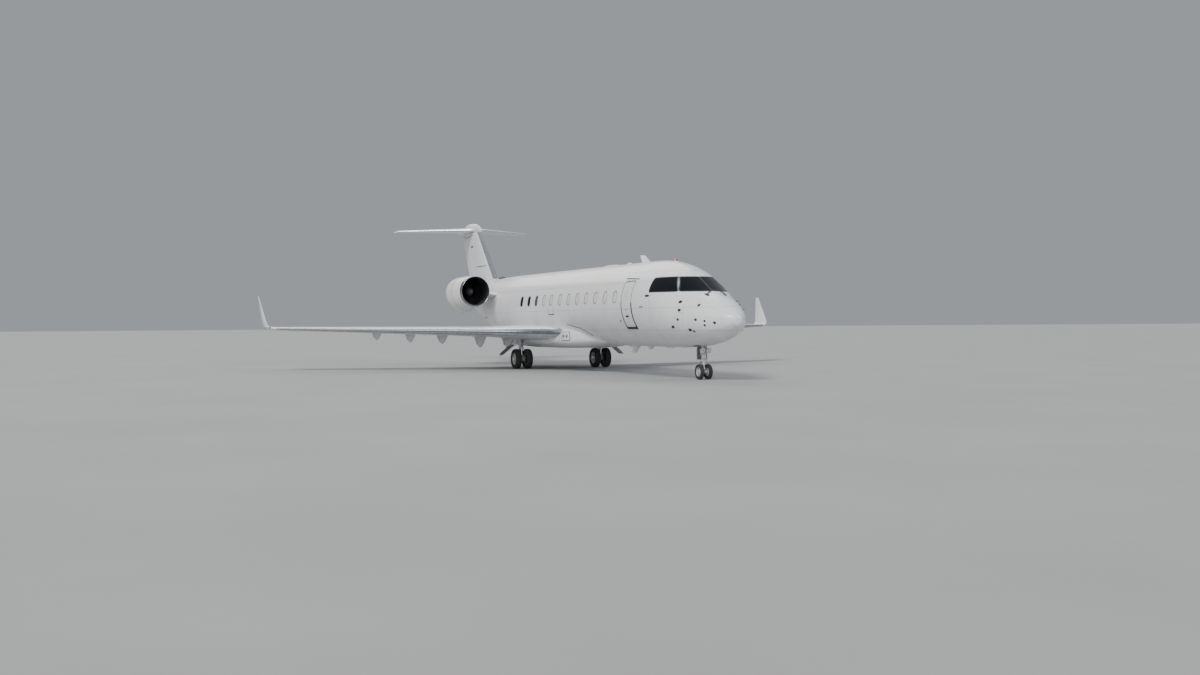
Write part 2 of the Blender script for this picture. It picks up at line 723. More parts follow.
def add_fuselage():
    places = (LEFT, RIGHT)
    above, pocket, rebate = 0.03, -0.03, -0.016
    cabin_windows = [window_outline(s) for s in CABIN_WINDOWS if s != EXIT_WINDOW]
    forward = [
        [SEAL] + [patch(rounded(widened(SIDE_WINDOW, 0.014), 0.05), place, above, rebate) for place in places],
        [SEAL] + [patch(rounded(widened(WINDSHIELD, 0.012), 0.04), from_ahead(side), above, rebate)
                  for side in SIDES.values()],
        [SEAL, patch(widened(SERVICE_DOOR, 0.007), RIGHT, above, pocket)],
        [CABIN_TRIM, patch(widened(PASSENGER_DOOR, 0.008), LEFT, 0.05, -0.076)],
        [CABIN_TRIM, station_box(4.21, 5.0, 0.1, 1.25, 3.29, 1.705)],
        [CABIN_TRIM, station_box(4.143, 5.067, 1.066, 1.5, 1.75, 1.603)],
        [BAY_PRIMER, station_box(*NOSE_BAY)]]
    centre = [
        [TRIM] + [patch(outline, place, above, -0.012, 3) for place in places for outline in cabin_windows],
        [SEAL] + [patch(widened(OVERWING_EXIT, 0.005), place, above, pocket) for place in places],
        main_bays()]
    aft = [[SEAL, patch(widened(BAGGAGE_DOOR, 0.005), LEFT, above, pocket)]]
    exhaust = lathe([(0, 0), (0.15, 0), (0.19, 0.45), (0, 0.45)], at(24.05, 0, 3.05), (-1, 0, -0.1), 32, False)
    for name, start, end, spacing, cutters in (
            ("radome", 0, 0.85, 0.04, []), ("fuselage_forward", 0.85, 5.23, 0.05, forward),
            ("fuselage_centre", 5.23, 16.2, 0.3, centre), ("fuselage_aft", 16.2, 21.2, 0.14, aft),
            ("tail_cone", 21.2, 24.4, 0.12, [[DARK_METAL, exhaust]])):
        mesh, materials = carve(skin_section(start, end, spacing), FUSELAGE_PAINT, cutters)
        polish(finish_piece(name + "_skin", mesh, materials, replaces=name))


add_fuselage()


def add_glazing():
    for word, side in SIDES.items():
        place = from_side(side)
        panes = {"side_window": ("side_pane", SIDE_WINDOW, 0.045, place, 0.09),
                 "windshield": ("windshield_pane", WINDSHIELD, 0.035, from_ahead(side), 0.06)}
        for node, (name, outline, radius, on_skin, spacing) in panes.items():
            pane = patch(rounded(outline, radius), on_skin, -0.001, -0.015, spacing=spacing)
            polish(add(f"{name}_{word}", pane, COCKPIT_GLASS, replaces=f"{node}_{word}", slot="window_glass"))
        for name, windows, finish in (("cabin_windows", CABIN_WINDOWS[:OPEN_BLINDS], SHADED_GLASS),
                                      ("cabin_windows_aft", CABIN_WINDOWS[OPEN_BLINDS:], CABIN_GLASS)):
            panes = Parts()
            for s in windows:
                panes.take(patch(widened(window_outline(s), -0.004), place, -0.006, -0.011, 3))
            panes.add(f"{name}_{word}", finish, slot="window_glass")


add_glazing()


def add_door(name, node, outline, place, *cuts, thick=0.026, body="airframe"):
    """Door that follows the skin, with hollows for its handle or window."""
    mesh, materials = carve(patch(outline, place, 0, -thick), FUSELAGE_PAINT, cuts)
    polish(finish_piece(name, mesh, materials, body, node))


def handle_cut(outline, place, deep):
    return patch(outline, place, 0.02, -deep, 2, 0.03)


def add_service_door():
    window = panel(4.53, 4.75, 2.36, 2.68, 0.1, 6)
    handle = handle_cut(panel(4.56, 4.74, 1.85, 1.91, 0.015), RIGHT, 0.016)
    add_door("service_door_skin", "service_door", SERVICE_DOOR, RIGHT,
             [TRIM, patch(window, RIGHT, 0.02, -0.01, 3)], [SEAL, handle])
    fittings = Parts()
    fittings.take(patch(widened(window, -0.004), RIGHT, -0.004, -0.009, 3), 1)
    fittings.take(band(SERVICE_DOOR, RIGHT, 0.004, 0.03, 0.0015, -0.01))
    gutter = [RIGHT(4.16 + 0.1 * i, GUTTER_HEIGHT + 0.004 * i) for i in range(10)]
    fittings.take(tube([off_skin(p, 0.006) for p in gutter], 0.014))
    fittings.take(patch(panel(4.58, 4.72, 1.865, 1.895, 0.01, 3), RIGHT, -0.001, -0.01, 2, 0.03), 2)
    fittings.add("service_door_fittings", [SEAL, SHADED_GLASS, TRIM])


add_service_door()
add_door("baggage_door_skin", "baggage_door", BAGGAGE_DOOR, LEFT, [SEAL] + [
    handle_cut(panel(s - 0.05, s + 0.05, 1.62, 1.66, 0.01, 3), LEFT, 0.01) for s in (17.55, 18.14)])
for word, side in SIDES.items():
    cut = patch(window_outline(EXIT_WINDOW, 0.25, 0.36), from_side(side), 0.02, -0.012, 3)
    add_door(f"overwing_exit_skin_{word}", f"overwing_exit_{word}", OVERWING_EXIT, from_side(side), [TRIM, cut])


# Wings and tail: each row is place along the span, leading edge station, chord, height, thickness to chord
WING = [
    (1.0, 9.9, 5.43, 1.345, 0.105), (1.5, 10.35, 4.97, 1.355, 0.11), (1.9, 11.08, 4.23, 1.364, 0.122),
    (2.4, 11.7, 3.6, 1.375, 0.128), (3.2, 12.2, 3.08, 1.395, 0.12), (10.15, 15.85, 1.23, 1.545, 0.1)]
TAILPLANE = [(0, 23.76, 2.08, 5.905, 0.1), (3.1, 25.84, 0.93, 5.905, 0.1)]
FIN = [(3.18, 20.5, 4.05, 0, 0.1), (5.78, 23.34, 2.7, 0, 0.1)]

# Winglet: row number, span, height, lean in degrees, leading edge station, chord, thickness to chord
WINGLET = [
    (0, 10.1503, 1.545, 0, 15.85, 1.23, 0.1), (1, 10.31, 1.562, 22, 15.96, 1.12, 0.1),
    (2, 10.415, 1.62, 50, 16.05, 1.02, 0.095), (3, 10.455, 1.74, 78, 16.15, 0.92, 0.09),
    (4, 10.597, 2.735, 82, 17.04, 0.22, 0.08)]

# Control surfaces: from, to, hinge as a share of the chord, room in front, room at the ends
AILERON = (7.64, 9.96, 0.73, 0.01, 0.025)
ELEVATOR = (0.26, 2.96, 0.68, 0.007, 0.016)
RUDDER = (3.66, 5.54, 0.7, 0.018, 0.055)
RUDDER_TOP_ROOM = 0.07

# Flaps: span, slant of the inner end, depth of the fairing at each hinge, height of the hinges and
# station of the round nose at both ends, and where the recess has sections
FLAPS = {
    "flap_inboard": dict(span=(1.64, 3.19), slant=0.0, hinges={1.9: 0.29, 2.98: 0.245}, low=(1.03, 1.04),
                         nose=(14.48, 14.48), sections=(1.9, 2.4, 2.98)),
    "flap_outboard": dict(span=(3.25, 7.53), slant=0.06, hinges={4.32: 0.18, 5.42: 0.175, 6.58: 0.145},
                          low=(1.06, 1.29), nose=(14.499, 16.025), sections=(4.3, 5.5, 6.6))}
FLAP_GAP = 0.013
RECESS_MARGIN = 0.032


def thickness_at(x):
    return 5 * (0.2969 * math.sqrt(x) - 0.126 * x - 0.3516 * x ** 2 + 0.2843 * x ** 3 - 0.1036 * x ** 4)


def foil_outline(count):
    """Chord share and half thickness of an airfoil, from its trailing edge over the top and back below."""
    shares = [0.5 * (1 + math.cos(turn)) for turn in turns(count)]
    return [(x, (1 if i <= count // 2 else -1) * thickness_at(x)) for i, x in enumerate(shares)]


class Foil:
    """Straight-tapered surface through the rows of a table. An upright one spans upwards."""

    def __init__(self, rows, points, upright=False):
        self.rows, self.upright, self.points = rows, upright, points

    def at(self, place):
        rows = self.rows
        i = 1
        while i < len(rows) - 1 and rows[i][0] < place:
            i += 1
        a, b = rows[i - 1], rows[i]
        t = (place - a[0]) / (b[0] - a[0])
        return [a[k] + (b[k] - a[k]) * t for k in (1, 2, 3, 4)]

    def half(self, place, x):
        lead, chord, height, thick = self.at(place)
        return thickness_at(x) * thick * chord

    def point(self, place, x, rise=0.0):
        lead, chord, height, thick = self.at(place)
        s = lead + x * chord
        return at(s, rise, place) if self.upright else at(s, place, height + rise)

    def fraction(self, place, station):
        lead, chord, height, thick = self.at(place)
        return (station - lead) / chord

    def ring(self, place, notch=None):
        """Section from the trailing edge over the top and back. A notch: (fraction, radius) of a hollow end."""
        count = 2 * self.points
        chord = self.at(place)[1]
        out = []
        limit = 1.0
        if notch:
            where, radius = notch
            reach = min(self.half(place, where) / radius, 1) if radius else 0
            lean = math.asin(reach)
            limit = where - radius * math.cos(lean) / chord if radius else where
        shares = [x for x, rise in foil_outline(count)]
        beyond = [i for i in range(self.points) if shares[i] > limit]
        for i, x in enumerate(shares):
            side = 1 if i <= self.points else -1
            step = i if side > 0 else count - i
            if step not in beyond and not (beyond and step == 0):
                out.append(self.point(place, x, side * self.half(place, x)))
                continue
            share = step / max(len(beyond) - 1, 1)
            if radius:
                angle = lean * share
                x = where - radius * math.cos(angle) / chord
                out.append(self.point(place, x, side * radius * math.sin(angle)))
            else:
                out.append(self.point(place, where, side * self.half(place, where) * share))
        return out

    def control(self, place, x, shrink=0.0):
        """Section of a control surface with a round nose about its hinge."""
        chord = self.at(place)[1]
        radius = self.half(place, x) - shrink
        rear = self.points * 2 // 3
        out = []
        for side in (1, -1):
            half = []
            for i in range(rear):
                u = x + (1 - x) * (1 - i / rear) ** 1.2
                half.append(self.point(place, u, side * max(self.half(place, u) - shrink, 0.0004)))
            for i in range(self.points - rear + (1 if side > 0 else 0)):
                angle = math.pi / 2 * (1 + i / (self.points - rear))
                half.append(self.point(place, x + radius * math.cos(angle) / chord,
                                       side * radius * math.sin(angle)))
            out += half if side > 0 else list(reversed(half[1:]))
        return out[:2 * self.points]

    def skin(self, first, last, start, end, side=1, outer=0.0025, inner=-0.004, steps=4):
        """Closed plate on one face between two places and two chord fractions."""
        corners = ((first, outer), (last, outer), (last, inner), (first, inner))
        return loft([[self.point(place, x, side * (self.half(place, x) + away)) for place, away in corners]
                     for x in spread(start, end, steps + 1)])

    def surface(self, first, last, x, shrink, count):
        """Control surface between two places."""
        return thin_loft([self.control(place, x, shrink) for place in spread(first, last, count)])

    def recess(self, start, end, x, room):
        """Places and notches of the hollow in front of a control surface."""
        notches = [(place, (x, self.half(place, x) + room)) for place in spread(start, end, 5)]
        return [(start, None)] + notches + [(end, None)]

    def body(self, sections):
        """The surface through places and their notches."""
        return thin_loft([self.ring(place, notch) for place, notch in sections])

    def wick(self, place, x, length, drop):
        """Static wick on the trailing edge."""
        tail = self.point(place, x)
        return tube([tail, tail + Vector((-length, 0, -drop))], 0.0035, 6)


wing_foil = Foil(WING, 40)
tail_foil = Foil(TAILPLANE, 32)
fin_foil = Foil(FIN, 32, upright=True)


def along_flap(flap, y, pair):
    first, last = flap["span"]
    return pair[0] + (pair[1] - pair[0]) * (y - first) / (last - first)


def nose_share(flap, y):
    return wing_foil.fraction(y, along_flap(flap, y, flap["nose"]))


def flap_front(flap, y):
    ends = [nose - wing_foil.half(end, nose_share(flap, end)) for end, nose in zip(flap["span"], flap["nose"])]
    return along_flap(flap, y, ends)


def pod(rows, y, sides=20, power=(0.8, 0.7)):
    """Slender fairing with full sections, through rows of (station, top, bottom, half width)."""
    rings = []
    for s, top, bottom, half in rows:
        middle, rise = (top + bottom) / 2, (top - bottom) / 2
        ring = []
        for turn in turns(sides):
            c, v = math.cos(turn), math.sin(turn)
            ring.append(at(s, y + half * math.copysign(abs(c) ** power[0], c),
                           middle + rise * math.copysign(abs(v) ** power[1], v)))
        rings.append(ring)
    return thin_loft(rings)


def wing_shape():
    """Wing with notches for the flaps and the aileron."""
    sections = [(1.0, None), (1.25, None), (1.5, None)]
    for name, flap in FLAPS.items():
        start, end = flap["span"][0] - RECESS_MARGIN, flap["span"][1] + RECESS_MARGIN
        if name == "flap_inboard":
            sections.append((start, None))
        else:
            start += 0.01
        for y in (start, *flap["sections"], end):
            sections.append((y, (wing_foil.fraction(y, flap_front(flap, y) - FLAP_GAP), 0.0)))
    sections.append((end, None))
    first, last, x, room, end_room = AILERON
    sections += wing_foil.recess(first - end_room, last + end_room, x, room)
    return wing_foil.body(sections + [(10.15, None)])


def flap_pods(flap, y):
    """Shapes of the fixed and of the moving half of the fairing over one flap hinge."""
    station, low = flap_front(flap, y) - 0.002, along_flap(flap, y, flap["low"])
    depth = flap["hinges"][y]
    height = wing_foil.at(y)[2]
    under = height - wing_foil.half(y, 0.55)
    keel = low - depth
    flap_under = height - wing_foil.half(y, 0.78) + 0.01
    droop = 0.6 * depth
    belly = flap_under - low + droop
    # Station aft of the hinge, share of the depth, half width
    front = [(-0.95, 0.02, 0.026), (-0.78, 0.28, 0.04), (-0.56, 0.66, 0.05), (-0.34, 0.92, 0.055),
             (-0.2, 1, 0.055), (-0.13, 1, 0.055)]
    fixed = [(-1.05, under + 0.06, under + 0.028, 0.006)]
    fixed += [(s, under + 0.06, under - share * (under - keel), half) for s, share, half in front]
    fixed += [(-0.06, under + 0.05, keel + 0.02, 0.054), (-0.014, under + 0.03, low - 0.035, 0.05)]
    moving = [
        (0.012, low + 0.07, low - 0.012, 0.034), (0.035, flap_under, low - 0.04, 0.046),
        (0.33 * depth, flap_under, low - 0.75 * droop, 0.052), (0.62 * depth, flap_under, low - droop, 0.053)]
    moving += [(s, flap_under, flap_under - share * belly, half) for s, share, half in (
        (0.3, 0.72, 0.047), (0.44, 0.42, 0.035), (0.56, 0.15, 0.02))]
    moving.append((0.61, flap_under, flap_under - 0.02, 0.006))
    pods = [pod([(station + s, *more) for s, *more in rows], y) for rows in (fixed, moving)]

    def lug(radius, start, end):
        return rod(at(station, y + start, low), at(station, y + end, low), radius, sides=24, bevel=0.002)

    cheeks = [lug(0.034, -0.056, -0.036), lug(0.034, 0.036, 0.056), lug(0.014, -0.062, -0.05),
              lug(0.014, 0.05, 0.062)]
    return [pods[0]] + cheeks, [pods[1], lug(0.03, -0.016, 0.016)]


def add_wing(word, side):
    wing = Parts(side).take(wing_shape())
    for flap in FLAPS.values():
        for y in flap["hinges"]:
            for shape in flap_pods(flap, y)[0]:
                wing.take(shape)
    piece = wing.add(f"wing_skin_{word}", [WING_PAINT, BARE_METAL, EDGE_METAL], replaces=f"wing_{word}",
                     slot="grey_paint", sharp=28)
    for face in piece.data.polygons:
        y = abs(face.center.y)
        share = wing_foil.fraction(y, NOSE_X - face.center.x)
        if 1.3 < y < 10.12 and share < 0.05 and abs(face.center.z - wing_foil.at(y)[2]) < 0.3:
            face.material_index = 2 if share < 0.004 else 1
    spoilers = Parts(side)
    for row in ((3.4, 4.6, 0.60, 0.72), (4.65, 5.9, 0.59, 0.70), (5.95, 7.3, 0.58, 0.69),
                (2.35, 3.15, 0.55, 0.68)):
        spoilers.take(wing_foil.skin(*row, outer=0.004, steps=10))
    spoilers.add(f"spoilers_{word}", WING_PAINT, slot="grey_paint")


def add_flap(word, side, name, flap):
    first, last = flap["span"]
    rings = []
    for y in spread(first, last, 7):
        lead, chord, height, thick = wing_foil.at(y)
        slant = flap["slant"] * (last - y) / (last - first)
        ring = wing_foil.control(y, nose_share(flap, y), 0.0005)
        rings.append([p + Vector((0, slant * max(0, min(1, (p.x - NOSE_X + lead + chord) / 0.7)), 0))
                      for p in ring])
    parts = Parts(side).take(thin_loft(rings))
    for y in flap["hinges"]:
        for shape in flap_pods(flap, y)[1]:
            parts.take(shape)
    add_moving(parts, name, word, WING_PAINT)


def add_moving(parts, name, word, finish):
    """A control surface on the body and node of its own name."""
    node = f"{name}_{word}" if word else name
    parts.add(f"{name}_skin_{word}" if word else f"{name}_skin", finish, node, node, "white_paint", 28)


def add_aileron(word, side):
    first, last, x, room, end_room = AILERON
    aileron = Parts(side).take(wing_foil.surface(first, last, x, 0.0006, 5))
    for y in (8.0, 8.8, 9.6):
        aileron.take(wing_foil.wick(y, 0.985, 0.12, 0.012), 1)
    add_moving(aileron, "aileron", word, [WING_PAINT, SEAL])


def add_winglet(word, side):
    rings = []
    for t in spread(0, 4, 25):
        y, z, lean, lead, chord, thick = curve(WINGLET, t, 1, 2, 3, 4, 5, 6)
        lean = math.radians(lean)
        rings.append([at(lead + x * chord, y - rise * thick * chord * math.sin(lean),
                         z + rise * thick * chord * math.cos(lean)) for x, rise in foil_outline(64)])
    Parts(side).take(thin_loft(rings)).add(f"winglet_skin_{word}", TAIL_PAINT, replaces=f"winglet_{word}",
                                           slot="white_paint", sharp=28)
    lens = [(0, -0.07), (0.018, -0.055), (0.028, -0.02), (0.028, 0.03), (0.018, 0.07), (0, 0.085)]
    Parts(side).take(lathe(lens, at(16.02, 10.36, 1.585), (-1, 0.45, 0.1), 16, False)).add(
        f"wing_light_{word}", RED_LENS if side > 0 else GREEN_LENS)


for word, side in SIDES.items():
    add_wing(word, side)
    for name, flap in FLAPS.items():
        add_flap(word, side, name, flap)
    add_aileron(word, side)
    add_winglet(word, side)


# Air scoop ahead of the fin, then the cap of the tail: station, top, bottom, half width
SCOOP = [(19.95, 3.615, 3.50, 0.06), (20.0, 3.64, 3.50, 0.085), (20.15, 3.65, 3.50, 0.1),
         (20.5, 3.645, 3.50, 0.1), (21.2, 3.61, 3.45, 0.07)]
TAIL_CAP = [
    (23.1, 5.87, 5.79, 0.015), (23.3, 5.97, 5.7803, 0.045), (23.6, 6.1, 5.7803, 0.095),
    (24.2, 6.2, 5.7803, 0.165), (24.7, 6.22, 5.7803, 0.19), (25.5, 6.09, 5.79, 0.165), (26.2, 5.99, 5.83, 0.1),
    (26.62, 5.94, 5.9, 0.02)]


def metal_edge(piece, foil, limit, place_of, first, last):
    """Bare metal on the leading edge of a surface."""
    for face in piece.data.polygons:
        place = place_of(face.center)
        if first < place < last and -0.01 < foil.fraction(place, NOSE_X - face.center.x) < limit:
            face.material_index = 1


def add_fin():
    first, last, x, room, low_room = RUDDER
    recess = fin_foil.recess(first - low_room, last + RUDDER_TOP_ROOM, x, room)
    fin = Parts().take(fin_foil.body([(3.18, None)] + recess + [(5.78, None)])).take(pod(SCOOP, 0.0, 24))
    piece = fin.add("fin_skin", [TAIL_PAINT, BARE_METAL], replaces="fin", slot="white_paint", sharp=28)
    metal_edge(piece, fin_foil, 0.06, lambda p: p.z, 3.75, 5.77)
    add_moving(Parts().take(fin_foil.surface(first, last, x, 0.0006, 6)), "rudder", "", TAIL_PAINT)


def add_tailplane():
    rows = [(s, *curve(TAIL_CAP, s, 1, 2, 3)) for s in spread(TAIL_CAP[0][0], TAIL_CAP[-1][0], 49)]
    tail = Parts().take(pod(rows, 0.0, 48, (1, 1)))
    first, last, x, room, end_room = ELEVATOR
    recess = tail_foil.recess(first - end_room, last + end_room, x, room)
    half = tail_foil.body([(0.0, None)] + recess + [(3.1, None)])
    for side in SIDES.values():
        tail.take(mirrored(half, side))
    piece = tail.add("tailplane_skin", [TAIL_PAINT, BARE_METAL], replaces="tailplane", slot="white_paint",
                     sharp=28)
    metal_edge(piece, tail_foil, 0.04, lambda p: abs(p.y), 0.25, 3.08)
    for word, side in SIDES.items():
        add_moving(Parts(side).take(tail_foil.surface(first, last, x, 0.0005, 5)), "elevator", word, TAIL_PAINT)


add_fin()
add_tailplane()


# Fairing below the wings: station, top, bottom, half width
FAIRING = [
    (7.9, 1.45, 0.985, 0.64), (8.8, 1.5, 0.9, 0.93), (9.8, 1.56, 0.83, 1.25), (10.9, 1.61, 0.795, 1.44),
    (12.2, 1.64, 0.78, 1.5), (14.3, 1.64, 0.78, 1.5), (15.6, 1.6, 0.815, 1.4), (16.7, 1.54, 0.89, 1.15),
    (17.6, 1.48, 0.985, 0.82)]
FAIRING_POWER = 0.62


def add_fairing():
    rows = [(s, *curve(FAIRING, s, 1, 2, 3)) for s in spread(FAIRING[0][0], FAIRING[-1][0], 81)]
    shape = pod(rows, 0.0, 96, (FAIRING_POWER, FAIRING_POWER))
    mesh, materials = carve(shape, FAIRING_PAINT, [main_bays()])
    finish_piece("belly_fairing_skin", mesh, materials, replaces="belly_fairing", sharp=28)


add_fairing()


# Engines: cowl as (station, half width, rise, drop), then profiles of (radius, station) about the axis
ENGINE_Y, ENGINE_Z = 2.24, 2.97
ENGINE = Vector((0, ENGINE_Y, ENGINE_Z))
COWL = [
    (17.1703, 0.6, 0.6, 0.6), (17.5, 0.66, 0.612, 0.69), (17.95, 0.708, 0.616, 0.762),
    (18.45, 0.72, 0.612, 0.8), (19.0, 0.64, 0.585, 0.745), (19.4, 0.535, 0.525, 0.57)]
DUCT = [(0.532, 17.1703), (0.565, 17.75), (0.565, 18.05), (0.575, 18.7), (0.55, 19.1), (0.508, 19.4)]
LIP = [(0.532, 17.17), (0.536, 17.09), (0.546, 17.035), (0.558, 17.007), (0.567, 17.0), (0.577, 17.008),
       (0.588, 17.045), (0.596, 17.1), (0.6, 17.17)]
LIP_SEAL = [(0.597, 17.163), (0.6025, 17.163), (0.6045, 17.181), (0.597, 17.181)]
CORE = [(0, 18.01), (0.17, 18.01), (0.33, 18.08), (0.42, 18.6), (0.44, 19.2), (0.4, 19.6), (0.34, 19.88),
        (0.328, 19.88), (0.34, 19.66), (0.19, 19.66), (0.07, 20.02), (0, 20.05)]
SPINNER = [(0, 17.56), (0.03, 17.567), (0.06, 17.6), (0.1, 17.66), (0.13, 17.72), (0.157, 17.78),
           (0.175, 17.85), (0.175, 17.99), (0, 17.99)]
FAN_STATION = 17.9
FAN_BLADES = 28
BLADE_ROOT, BLADE_TIP = 0.165, 0.547

# Pylon: (station, half thickness), the core's (station, radius) behind the cowl, (span, height) of both ends
PYLON = [(17.45, 0.012), (17.65, 0.085), (18.2, 0.145), (19.1, 0.15), (20.0, 0.095), (20.65, 0.012)]
PYLON_SEAT = [(18.08, 0.33), (18.6, 0.42), (19.3, 0.44), (20.0, 0.4), (20.5, 0.33)]
PYLON_ROOT, PYLON_TIP = (0.5, 2.76), (1.6, 2.886)


def smooth_profile(rows, steps=5):
    return [(p.x, p.y) for p in smooth_path([(*row, 0) for row in rows], steps)]


def cowl_point(s, angle, grow=0.0):
    side, rise, drop = curve(COWL, s, 1, 2, 3)
    tall = (rise if math.sin(angle) > 0 else drop) + grow
    return at(s, ENGINE_Y + (side + grow) * math.cos(angle), ENGINE_Z + tall * math.sin(angle))


def add_nacelle(word, side):
    """Cowl with the duct through it, which has its own material."""
    sides = 96
    stations = spread(COWL[0][0], COWL[-1][0], 33)
    rings = [[cowl_point(s, turn) for turn in turns(sides)] for s in stations]
    for radius, s in reversed(smooth_profile(DUCT[:3]) + smooth_profile(DUCT[3:])):
        rings.append([at(s, ENGINE_Y + radius * math.cos(turn), ENGINE_Z + radius * math.sin(turn))
                      for turn in turns(sides)])
    cowl = Parts(side).take(loft(rings + rings[:1], True, False))
    duct = range(len(stations) * sides, (len(rings) - 1) * sides)
    cowl.slots = [1 if i in duct else 0 for i in range(len(cowl.slots))]
    cowl.add(f"nacelle_skin_{word}", [COWL_PAINT, DUCT_LINING], replaces=f"nacelle_{word}", slot="white_paint",
             sharp=30)


def pylon_shape():
    """Pylon from inside the fuselage to the middle of the cowl's wall, and to the core behind the cowl."""
    outline = []
    for i in range(49):
        s = PYLON[0][0] + (PYLON[-1][0] - PYLON[0][0]) * (1 - math.cos(math.pi * i / 48)) / 2
        outline.append((s, max(*curve(PYLON, s, 1), 0.004)))
    outline += [(s, -half) for s, half in reversed(outline[1:-1])]
    inside = [(s, r) for r, s in DUCT]
    rings = []
    for t in spread(0, 1, 9):
        ring = []
        middle = PYLON_ROOT[1] + (PYLON_TIP[1] - PYLON_ROOT[1]) * t
        for s, half in outline:
            height = middle + half - ENGINE_Z
            if s < COWL[-1][0]:
                wide, rise, drop = curve(COWL, s, 1, 2, 3)
                outer = wide * math.sqrt(1 - (height / (rise if height > 0 else drop)) ** 2)
                reach = ENGINE_Y - (outer + math.sqrt(curve(inside, s, 1)[0] ** 2 - height ** 2)) / 2
            else:
                reach = ENGINE_Y - math.sqrt((curve(PYLON_SEAT, s, 1)[0] - 0.01) ** 2 - height ** 2)
            ring.append(at(s, PYLON_ROOT[0] + (reach - PYLON_ROOT[0]) * t, middle + half))
        rings.append(ring)
    return thin_loft(rings)


def fan_blade():
    """Twisted blade that stands up from the fan's axis."""
    rings = []
    for t in spread(0, 1, 9):
        bulge = math.sin(math.pi * t)
        twist, chord, thick = 0.45 + 0.6 * t, 0.125 + 0.03 * bulge, 0.012 - 0.007 * t
        ring = []
        for turn in turns(12):
            u = 0.5 * math.cos(turn)
            v = 0.5 * math.sin(turn) * (1 - abs(u))
            along = u * chord * math.cos(twist) - v * thick * math.sin(twist) + 0.012 * bulge
            across = u * chord * math.sin(twist) + v * thick * math.cos(twist)
            ring.append(at(FAN_STATION - along * 0.75, across, BLADE_ROOT + (BLADE_TIP - BLADE_ROOT) * t))
        rings.append(ring)
    return loft(rings)


def add_engine(word, side):
    def turned(profile, sides=96, closed=True):
        return lathe(profile, at(0, ENGINE_Y, ENGINE_Z), (-1, 0, 0), sides, closed)

    def around(parts, shape, count, start=0.0):
        for turn in turns(count, start):
            parts.take(moved(shape, Matrix.Rotation(turn, 3, "X"), ENGINE))

    add_nacelle(word, side)
    lip = Parts(side).take(turned(LIP))
    lip.slots = [2 if i % len(LIP) in (0, 1, 2, len(LIP) - 1) else 0 for i in range(len(lip.slots))]
    lip.take(turned(LIP_SEAL), 1)
    lip.add(f"intake_ring_{word}", [LIP_METAL, SEAL, DUCT_LINING], replaces=f"intake_lip_{word}",
            slot="bare_metal", sharp=40)
    core = Parts(side).take(turned(CORE, 64, False))
    around(core, block(at(18.56, -0.018, 0.36), at(18.32, 0.018, 0.566), 0.012), 4, 0.5)
    around(core, block(at(18.24, -0.004, 0.38), at(18.14, 0.004, 0.562), 0.003), 36)
    core.add(f"engine_core_skin_{word}", BURNT_METAL, replaces=f"engine_core_{word}", slot="engine_dark")
    fan = Parts(side).take(turned(SPINNER, 48, False), 1)
    around(fan, fan_blade(), FAN_BLADES)
    fan.add(f"fan_rotor_{word}", [DARK_METAL, SPINNER_PAINT], f"fan_{word}", f"fan_{word}", "engine_dark")
    Parts(side).take(pylon_shape()).add(
        f"pylon_skin_{word}", TAIL_PAINT, replaces=f"pylon_{word}", slot="white_paint", sharp=30)


for word, side in SIDES.items():
    add_engine(word, side)


# Wheels. Each has its tyre's radius and width, the rim's radius and how far the twin tyres stand apart.
MAIN_WHEEL = dict(radius=0.3685, width=0.229, rim=0.213, spacing=0.43, axle=0.05, bolts=9,
                  grooves=(-0.052, -0.018, 0.018, 0.052))
NOSE_WHEEL = dict(radius=0.2285, width=0.112, rim=0.126, spacing=0.28, axle=0.028, bolts=6,
                  grooves=(-0.02, 0.02))
MAIN_STATION, NOSE_STATION, HALF_TRACK = 13.49, 2.08, 1.585


def tyre_shape(wheel, centre):
    """Tyre with a crowned tread, grooves round it and a bead seated in the rim."""
    radius, half, rim = wheel["radius"], wheel["width"] / 2, wheel["rim"]
    wall = radius - rim
    crown_drop, groove = 0.009, 0.006
    side = [(rim - 0.006, half * 0.56), (rim + wall * 0.08, half * 0.72), (rim + wall * 0.2, half * 0.88),
            (rim + wall * 0.4, half), (rim + wall * 0.6, half * 0.985), (rim + wall * 0.78, half * 0.93),
            (radius - wall * 0.1, half * 0.82)]
    tread = [(y + move, deep) for y in wheel["grooves"]
             for move, deep in ((-0.0045, 0), (-0.0035, 1), (0.0035, 1), (0.0045, 0))]
    edge = half * 0.7
    across = [(-edge, 0), *tread, (edge, 0)]
    crown = [(radius - crown_drop * (y / edge) ** 2 - groove * deep, y) for y, deep in across]
    profile = [(r, -y) for r, y in side] + crown + [(r, y) for r, y in reversed(side)]
    return lathe(profile, centre, (0, 1, 0), 112)


